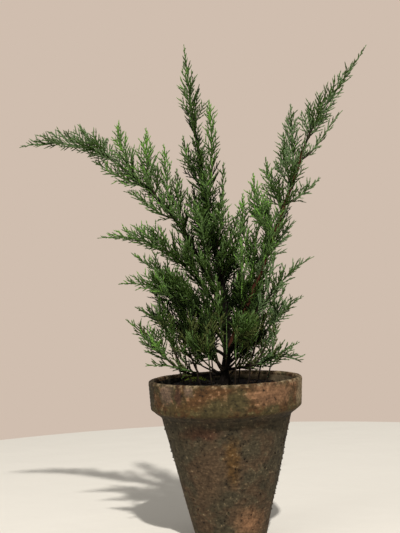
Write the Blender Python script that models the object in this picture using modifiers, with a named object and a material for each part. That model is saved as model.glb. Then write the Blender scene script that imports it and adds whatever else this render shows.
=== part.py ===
"""Potted juniper: a young, unclipped juniper in a weathered terracotta pot.

Metres, +Z up. The origin is the centre of the pot's flat underside. The two long
arms of the plant reach along -X and +X, and its front is towards -Y.
"""

import itertools
import math
import random

import bmesh
import bpy
from mathutils import Matrix, Vector

MM = 0.001
GAP = 0.3 * MM  # left between solids that meet
SEED = 11

# The pot, a thrown terracotta flowerpot with a deep plain band round its rim.
POT_HEIGHT = 205 * MM
RIM_RADIUS = 100 * MM
RIM_LOWER_RADIUS = 97.5 * MM
BAND_HEIGHT = 37 * MM
BAND_BEVEL = 10.5 * MM
SHOULDER_RADIUS = 84 * MM
FOOT_RADIUS = 46 * MM
WALL = 8 * MM
LIP = 9 * MM
LIP_ROUND = 2 * MM
BASE_THICKNESS = 12 * MM
BASE_EDGE = 1.5 * MM
POT_STEPS = 32  # the soil has as many, so that it fits inside
DRAIN_HOLES = 3
DRAIN_RADIUS = 5 * MM
DRAIN_CIRCLE = 24 * MM

# The soil that fills the pot to just under its lip, with a level patch for the trunk.
SOIL_TOP = 196 * MM
SOIL_SEAT_RADIUS = 15 * MM
SOIL_SAG = 4 * MM
SOIL_SHELF_RADIUS = 45 * MM
SOIL_SHELF_DROP = 1.6 * MM

# The trunk, in millimetres: it leans over to the left and becomes the middle leader.
TRUNK_LINE = (
    (0, 0, 196.5),
    (0, 0, 204),
    (0, 0, 212),
    (5, 1, 250),
    (3, 2, 310),
    (-6, 3, 370),
    (-15, 4, 430),
    (-21, 4, 480),
    (-27, 4, 530),
)
TRUNK_RADIUS = 5.4
TRUNK_TIP_RADIUS = 1.5
FLARE_RADIUS = 9.5
FLARE_HEIGHT = 16

# The woody part of the two long arms, in millimetres: the line and the radii at its ends.
ARM_LINES = {
    "bough_right_arm": ((5, 0, 236), (56, -20, 353), (95, -32, 453), (112, -36, 498)),
    "bough_left_arm": ((4, 0, 285), (-45, 12, 394), (-91, 22, 454), (-130, 30, 490)),
}
ARM_RADII = {"bough_right_arm": (3.6, 1.7), "bough_left_arm": (3.2, 1.5)}

# The other boughs, in millimetres and degrees: the height where each leaves the trunk,
# its tip, its elevation where it leaves and where it ends, and its radii.
BOUGHS = {
    "bough_left_high": (276, (-52, -8, 357), 62, 48, 2.2, 1.3),
    "bough_left_mid": (244, (-46, -18, 300), 60, 42, 2.2, 1.3),
    "bough_left_low": (229, (-44, 26, 254), 52, 38, 2.2, 1.3),
    "bough_left_foot": (209, (-52, -26, 216), 10, 30, 2.4, 1.6),
    "bough_right_high": (226, (46, -30, 291), 62, 48, 2.2, 1.3),
    "bough_right_mid": (216, (46, 20, 251), 52, 42, 2.2, 1.3),
    "bough_right_low": (213, (43, -10, 222), 20, 22, 2.2, 1.4),
}

# Each mass of foliage on a named limb: the limb, how far along it the stem leaves,
# the stem's tip, its elevation where it leaves and where it ends, or None to follow
# the limb, and the length of its longest sprays.
SHOOTS = {
    "leader_tip": ("trunk", 1, (-37, 3, 640), None, 86, 38),
    "leader_right": ("trunk", 0.70, (-7, -8, 565), 60, 92, 38),
    "leader_left": ("trunk", 0.74, (-43, 12, 522), 60, 84, 36),
    "leader_low": ("trunk", 0.60, (9, 12, 485), 55, 86, 40),
    "crown_right": ("trunk", 0.47, (24, -22, 417), 48, 74, 48),
    "crown_left": ("trunk", 0.50, (-40, -20, 450), 55, 84, 45),
    "left_arm_tip": ("bough_left_arm", 1, (-263, 44, 520), None, -12, 42),
    "left_arm_shoot_1": ("bough_left_arm", 0.88, (-128, 34, 549), 62, 100, 41),
    "left_arm_shoot_2": ("bough_left_arm", 0.72, (-91, 16, 535), 60, 92, 44),
    "left_arm_shoot_3": ("bough_left_arm", 0.60, (-69, 34, 515), 60, 86, 42),
    "left_arm_shoot_4": ("bough_left_arm", 0.46, (-53, 2, 478), 60, 84, 42),
    "left_arm_under_1": ("bough_left_arm", 0.82, (-166, 40, 497), 8, 26, 32),
    "left_arm_under_2": ("bough_left_arm", 0.58, (-124, 30, 454), 8, 14, 32),
    "left_high": ("bough_left_high", 1, (-156, -20, 391), None, -6, 38),
    "left_upper": ("trunk", 0.22, (-118, 40, 372), 50, 38, 50),
    "left_mid": ("bough_left_mid", 1, (-130, -34, 331), None, -8, 45),
    "left_low": ("bough_left_low", 1, (-116, 44, 299), None, 26, 45),
    "left_foot": ("bough_left_foot", 1, (-122, -46, 286), None, 36, 45),
    "left_rim": ("bough_left_foot", 0.5, (-98, -66, 229), 16, -4, 29),
    "right_arm_tip": ("bough_right_arm", 1, (192, -48, 619), None, 58, 44),
    "right_arm_fork": ("bough_right_arm", 0.93, (157, -58, 536), 22, 40, 34),
    "right_arm_shoot_1": ("bough_right_arm", 0.86, (97, -26, 552), 66, 96, 42),
    "right_arm_shoot_2": ("bough_right_arm", 0.80, (84, -48, 513), 62, 96, 41),
    "right_arm_shoot_3": ("bough_right_arm", 0.70, (63, -18, 486), 60, 92, 42),
    "right_arm_shoot_4": ("bough_right_arm", 0.54, (45, -40, 464), 60, 96, 44),
    "right_arm_shoot_5": ("bough_right_arm", 0.38, (32, -20, 441), 60, 98, 44),
    "right_arm_shoot_6": ("bough_right_arm", 0.17, (26, -40, 384), 56, 92, 42),
    "right_arm_outer": ("bough_right_arm", 0.72, (126, -60, 453), 20, 34, 40),
    "right_arm_inner": ("bough_right_arm", 0.48, (100, 4, 404), 30, 24, 45),
    "right_high": ("bough_right_high", 1, (115, -52, 356), None, 22, 45),
    "right_mid": ("bough_right_mid", 1, (109, 38, 305), None, 22, 48),
    "right_low": ("bough_right_low", 1, (95, -24, 248), None, 26, 40),
}

# The masses that fill the front and back. Those of the fan rise from the trunk's foot,
# and those of the collar leave it one above the other, by turns in front and behind.
FAN_AZIMUTHS = (-128, -96, -66, 56, 92, 126)
FAN_FOOT = 212
FAN_FOOT_STEP = 6
FAN_REACH = 84
FAN_REACH_STEP = 7
FAN_TOP = 270
FAN_TOP_STEP = 23
FAN_SPRAY = 46
FAN_LEAN = (44, 56)
COLLAR_MASSES = 10
COLLAR_FOOT = 246
COLLAR_TOP = 404
COLLAR_SPREAD = 46
COLLAR_REACH = (70, 34)
COLLAR_RISE = 74
COLLAR_SPRAY = 46
COLLAR_LEAN = (44, 74)
GOLDEN_RATIO = 0.618
GOLDEN_ANGLE = 137.5

# The dense masses have a core, a spindle round the stem that the sprays stand out of.
CORE_RADIUS = 3.6
CORE_SPAN = (0.08, 0.9)
CORE_PITCH = 16
LOOSE_MASSES = ("left_arm_tip", "right_arm_tip", "leader_tip", "left_rim", "left_high")
LOOSE_CORE_RADIUS = 2

# A stem and the sprays round it. A spray is a toothed blade: a rachis with
# branchlets that point forward from both its edges.
STEM_RADIUS = 1.25
STEM_TIP_RADIUS = 0.45
FIRST_SPRAY = 0.14
LAST_SPRAY = 0.84
SPRAY_PITCH = 23
SPRAY_SIZES = (1, 0.8, 0.64)
SPRAY_LEAN_FOOT = 40
SPRAY_LEAN_TIP = 21
SPRAY_UPTURN = 0.25
SPRAY_TAPER = 0.45
WHIP_SHARE = 0.85
SPRAY_ROLL = 50
SPRAY_TURNS = 6
STEM_REACH = 5
SPRAY_THICKNESS = 1.9
RACHIS_WIDTH = 2.2
BRANCHLETS = (3, 2)
BRANCHLET_STARTS = (0.14, 0.22)
BRANCHLET_SPAN = 0.76
BRANCHLET_TAPER = 0.26
BRANCHLET_LEAN = 31
BRANCHLET_SHARE = 0.58

# The space of a mass: each point of a spray is nearer to its own stem than to any other
# by the cell margin, and stays off the limbs and the pot's rim.
CELL_MARGIN = 2.4
CELL_PITCH = 3
LIMB_MARGIN = 1.3
RIM_CLEARANCE = 3

# How finely the limbs are drawn, and how a union is tried and cleaned.
LIMB_PITCH = 16
TRUNK_PITCH = 12
CURVE_STEPS = 24
KNOT_STEPS = 12
TRIM_STEPS = 12
HEIGHT_STEPS = 400
WELD = 0.001 * MM
SLIVER = 0.02 * MM
TRIES = 4

# A limb is faceted, so it stands back a little from the round wall that these clear, and
# the real gap at a foot or a tip is about 0.3 mm.
SEAT_GAP = 0.12
TIP_GAP = 0.5

COLOURS = {
    "terracotta": (0.20, 0.12, 0.07),
    "soil": (0.03, 0.02, 0.012),
    "bark": (0.11, 0.06, 0.04),
    "foliage": (0.05, 0.11, 0.03),
}
ROUGHNESS = {"terracotta": 0.9, "soil": 1.0, "bark": 0.85, "foliage": 0.6}


def clear_scene():
    """Removes what the startup scene holds."""
    for obj in list(bpy.data.objects):
        bpy.data.objects.remove(obj)


def make_material(name):
    """A plain Principled material in one of the object's colours."""
    material = bpy.data.materials.new(name)
    material.use_nodes = True
    shader = material.node_tree.nodes["Principled BSDF"]
    shader.inputs["Base Color"].default_value = (*COLOURS[name], 1)
    shader.inputs["Roughness"].default_value = ROUGHNESS[name]
    shader.inputs["Metallic"].default_value = 0
    return material


def make_collection(name):
    """A new collection in the scene."""
    collection = bpy.data.collections.new(name)
    bpy.context.scene.collection.children.link(collection)
    return collection


class Path:
    """A smooth line of points, in millimetres, with a radius that tapers along it."""

    def __init__(self, points, foot_radius, tip_radius, flare_radius=0, flare_height=1):
        self.points = points
        self.marks = [0.0]
        for before, after in zip(points, points[1:]):
            self.marks.append(self.marks[-1] + (after - before).length)
        self.length = self.marks[-1]
        self.foot_radius = foot_radius
        self.tip_radius = tip_radius
        self.flare = max(0, flare_radius - foot_radius)
        self.flare_height = flare_height

    def at(self, share):
        """The point and the direction at a share of the length."""
        distance = min(max(share, 0), 1) * self.length
        index = 1
        while index < len(self.points) - 1 and self.marks[index] < distance:
            index += 1
        before, after = self.points[index - 1], self.points[index]
        along = (distance - self.marks[index - 1]) / (after - before).length
        return before.lerp(after, along), (after - before).normalized()

    def radius(self, share):
        """The radius at a share of the length, with the flare at the foot."""
        flare = max(0, 1 - share * self.length / self.flare_height) ** 2 * self.flare
        return self.foot_radius + (self.tip_radius - self.foot_radius) * share + flare

    def clearance(self, spot):
        """The distance from a point to the wall, and the way out to the point from the axis."""
        best = None
        for index, (before, after) in enumerate(zip(self.points, self.points[1:])):
            run = after - before
            along = min(max((spot - before).dot(run) / run.length_squared, 0), 1)
            away = spot - before - run * along
            share = (self.marks[index] + run.length * along) / self.length
            room = away.length - self.radius(share)
            if best is None or room < best[0]:
                best = room, away
        return best

    def stations(self, pitch):
        """Even shares of the length, about pitch apart, both ends among them."""
        count = max(2, round(self.length / pitch))
        return [step / count for step in range(count + 1)]


def through(knots, steps=KNOT_STEPS):
    """Points of a Catmull-Rom curve through the knots."""
    knots = [Vector(knot) for knot in knots]
    ends = [2 * knots[0] - knots[1], *knots, 2 * knots[-1] - knots[-2]]
    points = []
    for a, b, c, d in zip(ends, ends[1:], ends[2:], ends[3:]):
        for step in range(steps):
            t = step / steps
            points.append(
                0.5
                * (
                    2 * b
                    + (c - a) * t
                    + (2 * a - 5 * b + 4 * c - d) * t**2
                    + (3 * b - a - 3 * c + d) * t**3
                )
            )
    return [*points, knots[-1]]


def heading(azimuth, elevation):
    """The unit vector of an azimuth and an elevation, in degrees."""
    turn, lift = math.radians(azimuth), math.radians(elevation)
    flat = math.cos(lift)
    return Vector((math.cos(turn) * flat, math.sin(turn) * flat, math.sin(lift)))


def bent(root, tip, leave, arrive, steps=CURVE_STEPS):
    """Points of a limb that leaves root in one direction and ends at tip in another."""
    pull = (tip - root).length / 3
    first, second = root + leave * pull, tip - arrive * pull
    points = []
    for step in range(steps + 1):
        t = step / steps
        s = 1 - t
        points.append(
            root * s**3 + first * 3 * s * s * t + second * 3 * s * t * t + tip * t**3
        )
    return points


def azimuth_of(vector):
    """The azimuth of a vector, in degrees."""
    return math.degrees(math.atan2(vector.y, vector.x))


def trim_to_clear(points, parent, radius):
    """Drops the start of a limb that lies inside its parent."""
    for index, after in enumerate(points[1:], 1):
        before = points[index - 1]
        way = (after - before).normalized()
        for step in range(TRIM_STEPS):
            spot = before.lerp(after, step / TRIM_STEPS)
            room, away = parent.clearance(spot)
            slant = math.sqrt(max(0, 1 - away.normalized().dot(way) ** 2))
            if room >= SEAT_GAP + radius * slant:
                return [spot, *points[index:]]
    raise ValueError("a limb never leaves its parent")


def share_at_height(path, height):
    """How far along a path it reaches a height."""
    shares = (step / HEIGHT_STEPS for step in range(HEIGHT_STEPS))
    return next(share for share in shares if path.at(share)[0].z >= height)


def grow_limbs():
    """The trunk, the two arms, and the boughs, as paths by name."""
    trunk = Path(
        through(TRUNK_LINE), TRUNK_RADIUS, TRUNK_TIP_RADIUS, FLARE_RADIUS, FLARE_HEIGHT
    )
    limbs = {"trunk": trunk}
    for name, line in ARM_LINES.items():
        foot, tip = ARM_RADII[name]
        share = share_at_height(trunk, line[0][2])
        line = (trunk.at(share)[0], *line[1:])
        limbs[name] = Path(trim_to_clear(through(line), trunk, foot), foot, tip)
    for name, (height, tip, leave, arrive, foot_radius, tip_radius) in BOUGHS.items():
        share = share_at_height(trunk, height)
        root, tip = trunk.at(share)[0], Vector(tip)
        side = azimuth_of(tip - root)
        points = bent(root, tip, heading(side, leave), heading(side, arrive))
        points = trim_to_clear(points, trunk, foot_radius)
        limbs[name] = Path(points, foot_radius, tip_radius)
    return limbs


def shoot_rows(limbs):
    """The rows of SHOOTS, and those of the fan and the collar."""
    rows = dict(SHOOTS)
    trunk = limbs["trunk"]
    for index, azimuth in enumerate(FAN_AZIMUTHS):
        share = share_at_height(trunk, FAN_FOOT + FAN_FOOT_STEP * (index * 2 % 5))
        reach = FAN_REACH + FAN_REACH_STEP * (index % 3 - 1)
        tip = heading(azimuth, 0) * reach
        tip.z = FAN_TOP + FAN_TOP_STEP * (index * 2 % 3)
        rows[f"fan_{index + 1}"] = ("trunk", share, tip, *FAN_LEAN, FAN_SPRAY)
    far, near = COLLAR_REACH
    for index in range(COLLAR_MASSES):
        up = index / (COLLAR_MASSES - 1)
        share = share_at_height(trunk, COLLAR_FOOT + (COLLAR_TOP - COLLAR_FOOT) * up)
        sweep = 2 * (index * GOLDEN_RATIO % 1) - 1
        azimuth = (90 + COLLAR_SPREAD * sweep) * (-1) ** index
        tip = trunk.at(share)[0] + heading(azimuth, 0) * (far + (near - far) * up)
        tip.z += COLLAR_RISE
        rows[f"collar_{index + 1}"] = ("trunk", share, tip, *COLLAR_LEAN, COLLAR_SPRAY)
    return rows


def grow_stems(limbs, rows):
    """The stem of each mass of foliage, as paths by name."""
    stems = {}
    for name, (parent, share, tip, leave, arrive, _) in rows.items():
        limb = limbs[parent]
        root, along = limb.at(share)
        tip = Vector(tip)
        side = azimuth_of(tip - root)
        start = along if leave is None else heading(side, leave)
        points = bent(root, tip, start, heading(side, arrive))
        if share == 1:
            points[0] = root + along * TIP_GAP
        else:
            points = trim_to_clear(points, limb, STEM_RADIUS)
        stems[name] = Path(points, STEM_RADIUS, STEM_TIP_RADIUS)
    return stems


class Spaces:
    """Which part of the crown belongs to each mass: what lies nearest to its stem."""

    def __init__(self, limbs, stems):
        self.stems = {
            name: [stem.at(share)[0] for share in stem.stations(CELL_PITCH)]
            for name, stem in stems.items()
        }
        self.limbs = [
            (limb.at(share)[0], limb.radius(share))
            for limb in limbs.values()
            for share in limb.stations(CELL_PITCH)
        ]

    def room(self, name, spot):
        """How far a core may reach from a point on a mass's own stem."""
        others = [
            (point - spot).length - CELL_MARGIN
            for other, points in self.stems.items()
            if other != name
            for point in points
        ]
        walls = [(point - spot).length - radius - LIMB_MARGIN for point, radius in self.limbs]
        return min(min(others) / 2, min(walls))

    def holds(self, name, spot):
        """True if a point lies in a mass's space, clear of limbs, soil and pot."""
        own = min((point - spot).length for point in self.stems[name])
        for other, points in self.stems.items():
            if other == name:
                continue
            if min((point - spot).length for point in points) < own + CELL_MARGIN:
                return False
        if any((point - spot).length < radius + LIMB_MARGIN for point, radius in self.limbs):
            return False
        floor = POT_HEIGHT / MM + RIM_CLEARANCE
        return spot.z > floor or math.hypot(spot.x, spot.y) > RIM_RADIUS / MM + RIM_CLEARANCE


def spray_outline(length):
    """The outline of a toothed blade that lies along +X, as (x, y) points."""
    half = RACHIS_WIDTH / 2
    lean = math.radians(BRANCHLET_LEAN)
    edges = []
    for side, count, start in zip((1, -1), BRANCHLETS, BRANCHLET_STARTS):
        pitch = length * BRANCHLET_SPAN / count
        edge = [(0, side * half)]
        for index in range(count):
            reach = length * BRANCHLET_SHARE * (1 - BRANCHLET_TAPER * index)
            foot = length * start + pitch * index
            edge.append((foot, side * half))
            edge.append((foot + reach * math.cos(lean), side * (half + reach * math.sin(lean))))
        edges.append(edge)
    return [*edges[0], (length, 0), *reversed(edges[1])]


def curve_object(name, collection, dimensions):
    """An empty curve object with filled ends."""
    data = bpy.data.curves.new(name, "CURVE")
    data.dimensions = dimensions
    obj = bpy.data.objects.new(name, data)
    collection.objects.link(obj)
    return obj


def tube(name, path, pitch, resolution, collection, radius_at=None):
    """A tapering limb along a path, as a curve object with round filled ends."""
    obj = curve_object(name, collection, "3D")
    obj.data.bevel_depth = MM
    obj.data.bevel_resolution = resolution
    obj.data.use_fill_caps = True
    stations = path.stations(pitch)
    spline = obj.data.splines.new("POLY")
    spline.points.add(len(stations) - 1)
    for point, share in zip(spline.points, stations):
        point.co = (*(path.at(share)[0] * MM), 1)
        point.radius = radius_at(share) if radius_at else path.radius(share)
    return obj


def core_radius(name, stem, spaces):
    """The radius of a mass's stem with its core: a spindle that keeps to the mass's space."""
    fullest = LOOSE_CORE_RADIUS if name in LOOSE_MASSES else CORE_RADIUS
    start, end = CORE_SPAN

    def radius_at(share):
        swell = math.sin(math.pi * min(max((share - start) / (end - start), 0), 1)) ** 0.7
        room = spaces.room(name, stem.at(share)[0])
        return max(stem.radius(share), min(fullest * swell, room))

    return radius_at


def blade(name, length, matrix, collection):
    """One spray, a flat toothed blade, as a curve object."""
    obj = curve_object(name, collection, "2D")
    obj.data.fill_mode = "BOTH"
    obj.data.extrude = SPRAY_THICKNESS * MM / 2
    outline = spray_outline(length)
    spline = obj.data.splines.new("POLY")
    spline.points.add(len(outline) - 1)
    for point, (x, y) in zip(spline.points, outline):
        point.co = (x * MM, y * MM, 0, 1)
    spline.use_cyclic_u = True
    obj.matrix_world = matrix
    return obj


def to_mesh(obj):
    """Replaces a curve object by the welded mesh of its shape, and returns the new object."""
    graph = bpy.context.evaluated_depsgraph_get()
    mesh = bpy.data.meshes.new_from_object(obj.evaluated_get(graph))
    name = obj.name
    made = bpy.data.objects.new(name, mesh)
    made.matrix_world = obj.matrix_world
    for collection in obj.users_collection:
        collection.objects.link(made)
    bpy.data.objects.remove(obj)
    made.name = name
    shape = bmesh.new()
    shape.from_mesh(mesh)
    bmesh.ops.remove_doubles(shape, verts=shape.verts, dist=WELD)
    bmesh.ops.recalc_face_normals(shape, faces=shape.faces)
    shape.to_mesh(mesh)
    shape.free()
    return made


def spray_frame(along, angle, lean, roll):
    """The axes of a spray that leans out from its stem, with the tip turned up a little."""
    aside = along.orthogonal().normalized()
    aside.rotate(Matrix.Rotation(math.radians(angle), 3, along))
    lean = math.radians(lean)
    out = along * math.cos(lean) + aside * math.sin(lean) + Vector((0, 0, SPRAY_UPTURN))
    out.normalize()
    across = out.cross(along).normalized()
    across.rotate(Matrix.Rotation(math.radians(roll), 3, out))
    return Matrix((out, across, out.cross(across))).transposed()


def spray_places(name, stem, length, spaces, rng):
    """Where the sprays of a mass stand: (matrix, length) of each that keeps to its space."""
    count = max(3, round(stem.length / SPRAY_PITCH))
    turn = rng.uniform(0, 360)
    places = []
    for index in range(count):
        share = FIRST_SPRAY + (LAST_SPRAY - FIRST_SPRAY) * index / (count - 1)
        spot, along = stem.at(share)
        lean = SPRAY_LEAN_FOOT + (SPRAY_LEAN_TIP - SPRAY_LEAN_FOOT) * share
        reach = length * (1 - SPRAY_TAPER * share) * rng.uniform(0.92, 1.08)
        reach = min(reach, stem.length * (1 - share) * WHIP_SHARE)
        turn += GOLDEN_ANGLE
        for size, around in itertools.product(SPRAY_SIZES, range(SPRAY_TURNS)):
            angle = turn + 360 * around / SPRAY_TURNS
            turned = spray_frame(along, angle, lean, rng.uniform(-SPRAY_ROLL, SPRAY_ROLL))
            outline = [spot + turned @ Vector((x, y, 0)) for x, y in spray_outline(reach * size)]
            corners = [corner for corner in outline if (corner - spot).length > STEM_REACH]
            if all(spaces.holds(name, corner) for corner in corners):
                matrix = Matrix.Translation(spot * MM) @ turned.to_4x4()
                places.append((matrix, reach * size))
                break
    return places


def fuse(body, group):
    """The mesh of a body joined with a collection of blades by one Boolean union."""
    union = body.modifiers.new("fuse sprays", "BOOLEAN")
    union.operation = "UNION"
    union.operand_type = "COLLECTION"
    union.collection = group
    union.solver = "MANIFOLD"
    bpy.context.view_layer.update()
    graph = bpy.context.evaluated_depsgraph_get()
    mesh = bpy.data.meshes.new_from_object(body.evaluated_get(graph))
    body.modifiers.clear()
    return mesh


def tidy_shape(mesh):
    """Collapses the slivers of a union. True if one closed body is left."""
    shape = bmesh.new()
    shape.from_mesh(mesh)
    bmesh.ops.triangulate(shape, faces=shape.faces)
    bmesh.ops.remove_doubles(shape, verts=shape.verts, dist=SLIVER)
    bmesh.ops.dissolve_degenerate(shape, edges=shape.edges, dist=SLIVER)
    shape.verts.ensure_lookup_table()
    closed = all(len(edge.link_faces) == 2 for edge in shape.edges)
    reached = {shape.verts[0]} if len(shape.verts) else set()
    front = list(reached)
    while front:
        vertex = front.pop()
        for edge in vertex.link_edges:
            other = edge.other_vert(vertex)
            if other not in reached:
                reached.add(other)
                front.append(other)
    whole = closed and len(reached) == len(shape.verts)
    shape.to_mesh(mesh)
    shape.free()
    return whole


def make_mass(name, stem, length, spaces, collection, material, rng):
    """One mass of foliage: a stem with its sprays fused on by one Boolean union."""
    radius_at = core_radius(name, stem, spaces)
    body = to_mesh(tube(f"foliage_{name}", stem, CORE_PITCH, 0, collection, radius_at))
    for attempt in range(TRIES):
        group = make_collection(f"sprays_{name}")
        places = spray_places(name, stem, length, spaces, rng)
        blades = [
            blade(f"spray_{name}_{index}", reach, matrix, group)
            for index, (matrix, reach) in enumerate(places)
        ]
        bpy.context.view_layer.update()
        blades = [to_mesh(obj) for obj in blades]
        fused = fuse(body, group)
        for obj in blades:
            bpy.data.objects.remove(obj)
        bpy.data.collections.remove(group)
        if tidy_shape(fused):
            break
    body.data = fused
    body.data.materials.clear()
    body.data.materials.append(material)
    return body


def turned(name, profile, steps, collection, material):
    """A solid of revolution about Z from (radius, height) points that start and end on the axis."""
    mesh = bpy.data.meshes.new(name)
    points = [(radius, 0, height) for radius, height in profile]
    mesh.from_pydata(points, [(i, i + 1) for i in range(len(points) - 1)], [])
    obj = bpy.data.objects.new(name, mesh)
    collection.objects.link(obj)
    screw = obj.modifiers.new("turn", "SCREW")
    screw.steps = screw.render_steps = steps
    screw.use_merge_vertices = True
    screw.merge_threshold = WELD
    mesh.materials.append(material)
    return obj


def inner_radius(height):
    """The radius of the pot's inner wall at a height."""
    shoulder = POT_HEIGHT - BAND_HEIGHT - BAND_BEVEL
    if height <= shoulder:
        slope = (SHOULDER_RADIUS - FOOT_RADIUS) / shoulder
        return FOOT_RADIUS - WALL + slope * height
    share = (height - shoulder) / (POT_HEIGHT - LIP_ROUND - shoulder)
    start, end = SHOULDER_RADIUS - WALL, RIM_RADIUS - LIP
    return start + (end - start) * share


def make_pot(collection, cutters, material):
    """The terracotta pot, with three small drain holes round the middle of its base."""
    band_foot = POT_HEIGHT - BAND_HEIGHT
    shoulder = band_foot - BAND_BEVEL
    profile = [
        (0, BASE_THICKNESS),
        (inner_radius(BASE_THICKNESS), BASE_THICKNESS),
        (inner_radius(shoulder), shoulder),
        (RIM_RADIUS - LIP, POT_HEIGHT - LIP_ROUND),
        (RIM_RADIUS - LIP + LIP_ROUND, POT_HEIGHT),
        (RIM_RADIUS - LIP_ROUND, POT_HEIGHT),
        (RIM_RADIUS, POT_HEIGHT - LIP_ROUND),
        (RIM_LOWER_RADIUS, band_foot),
        (SHOULDER_RADIUS, shoulder),
        (FOOT_RADIUS, BASE_EDGE),
        (FOOT_RADIUS - BASE_EDGE, 0),
        (0, 0),
    ]
    pot = turned("pot", profile, POT_STEPS, collection, material)
    for index in range(DRAIN_HOLES):
        turn = math.tau * (index + 0.25) / DRAIN_HOLES
        bpy.ops.mesh.primitive_cylinder_add(
            vertices=12,
            radius=DRAIN_RADIUS,
            depth=BASE_THICKNESS * 3,
            location=(DRAIN_CIRCLE * math.cos(turn), DRAIN_CIRCLE * math.sin(turn), 0),
        )
        cutter = bpy.context.object
        cutter.name = f"drain_cutter_{index + 1}"
        cutter.display_type = "WIRE"
        cutter.hide_render = True
        cutter.users_collection[0].objects.unlink(cutter)
        cutters.objects.link(cutter)
        cut = pot.modifiers.new(f"drain hole {index + 1}", "BOOLEAN")
        cut.operation = "DIFFERENCE"
        cut.object = cutter
        cut.solver = "EXACT"
    return pot


def make_soil(collection, material):
    """The soil, filled to just under the pot's lip and level where the trunk stands."""
    edge = SOIL_TOP - SOIL_SAG
    shoulder = POT_HEIGHT - BAND_HEIGHT - BAND_BEVEL
    floor = BASE_THICKNESS + GAP
    profile = [
        (0, SOIL_TOP),
        (SOIL_SEAT_RADIUS, SOIL_TOP),
        (SOIL_SHELF_RADIUS, SOIL_TOP - SOIL_SHELF_DROP),
        (inner_radius(edge) - GAP, edge),
        (inner_radius(shoulder) - GAP, shoulder),
        (inner_radius(floor) - GAP, floor),
        (0, floor),
    ]
    return turned("soil", profile, POT_STEPS, collection, material)


def main():
    clear_scene()
    parts = make_collection("potted juniper")
    cutters = make_collection("cutters")
    materials = {name: make_material(name) for name in COLOURS}
    make_pot(parts, cutters, materials["terracotta"])
    make_soil(parts, materials["soil"])

    rng = random.Random(SEED)
    limbs = grow_limbs()
    rows = shoot_rows(limbs)
    stems = grow_stems(limbs, rows)
    for name, limb in limbs.items():
        pitch = TRUNK_PITCH if name == "trunk" else LIMB_PITCH
        resolution = 2 if name == "trunk" else 1
        wood = tube(name, limb, pitch, resolution, parts)
        wood.data.materials.append(materials["bark"])
    spaces = Spaces(limbs, stems)
    for name, stem in stems.items():
        make_mass(name, stem, rows[name][5], spaces, parts, materials["foliage"], rng)


main()
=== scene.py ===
"""Potted juniper: the looks of a young juniper in a weathered terracotta pot.

Metres and +Z up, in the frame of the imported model. The plant is worked out in millimetres,
by the rule that its solids were grown by, and carried on to finer twigs and scale leaves.
"""

import itertools
import math
import random

import bmesh
import bpy
import numpy as np
from bpy.props import FloatProperty, FloatVectorProperty, IntProperty, PointerProperty
from mathutils import Matrix, Quaternion, Vector, noise


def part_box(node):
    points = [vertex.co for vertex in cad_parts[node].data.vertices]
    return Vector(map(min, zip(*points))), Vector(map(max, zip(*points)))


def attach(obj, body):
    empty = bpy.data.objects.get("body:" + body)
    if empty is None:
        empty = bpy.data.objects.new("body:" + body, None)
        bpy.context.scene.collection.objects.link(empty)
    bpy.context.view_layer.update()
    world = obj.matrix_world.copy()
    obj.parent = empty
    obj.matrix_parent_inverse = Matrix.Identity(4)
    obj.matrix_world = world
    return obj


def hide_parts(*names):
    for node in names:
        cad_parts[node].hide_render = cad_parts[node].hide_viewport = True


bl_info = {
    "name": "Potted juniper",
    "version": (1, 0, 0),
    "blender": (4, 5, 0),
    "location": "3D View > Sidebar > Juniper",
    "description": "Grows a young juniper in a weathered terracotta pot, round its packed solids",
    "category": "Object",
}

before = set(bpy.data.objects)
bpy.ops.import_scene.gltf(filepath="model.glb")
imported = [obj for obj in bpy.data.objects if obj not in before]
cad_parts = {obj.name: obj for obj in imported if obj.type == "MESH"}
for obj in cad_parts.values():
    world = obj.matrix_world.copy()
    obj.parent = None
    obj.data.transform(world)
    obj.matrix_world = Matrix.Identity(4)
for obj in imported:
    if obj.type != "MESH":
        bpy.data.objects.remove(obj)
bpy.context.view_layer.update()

MM = 0.001
PIECE_TRIANGLES = 190000  # the most that one joined piece holds

# The pot's own sizes in millimetres, from its solid where that gives them.
POT_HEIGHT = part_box("pot")[1].z / MM
RIM_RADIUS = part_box("pot")[1].x / MM
RIM_LOWER_RADIUS = RIM_RADIUS - 2.5
BAND_FOOT = POT_HEIGHT - 37
SHOULDER_HEIGHT = BAND_FOOT - 10.5
SHOULDER_RADIUS = 84
FOOT_RADIUS = 46
POT_WALL = 8
LIP_RADIUS = RIM_RADIUS - 9
BASE_THICKNESS = 12
DRAIN_HOLES = 3
DRAIN_RADIUS = 5
DRAIN_CIRCLE = 24
DRAIN_TURN = 0.25  # where the first hole is, as a share of the way to the next
STAINED_BELOW = 3  # how far below the rim's top the stained clay starts
SOIL_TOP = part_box("soil")[1].z / MM

# How finely the pot and the soil are drawn: the steps round the pot, the distance between its
# rings outside and inside, how far its corners are rounded, the sides of a drain hole, and the
# steps and rings of the soil's top.
POT_STEPS = 384
OUTER_PITCH = 1.6
INNER_PITCH = 6
CORNER_ROUND = 2.2
CORNER_STEPS = 4
CORNER_SIDE_PARTS = 2.2  # a rounded corner takes up at most one of so many parts of a side
ON_AXIS = 0.01  # a point nearer to the axis than this is on it
DRAIN_SIDES = 32
SOIL_STEPS = 144
SOIL_RINGS = 46

# Crumbs of soil that cling to the pot's wall: how many, the azimuth of their middle and
# their spread in degrees, and the lowest and highest.
CLINGING_CRUMBS = (
    (110, -4, 15, 30, 136),
    (30, 184, 13, 96, 149),
    (110, -90, 46, 16, 149),
)

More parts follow.
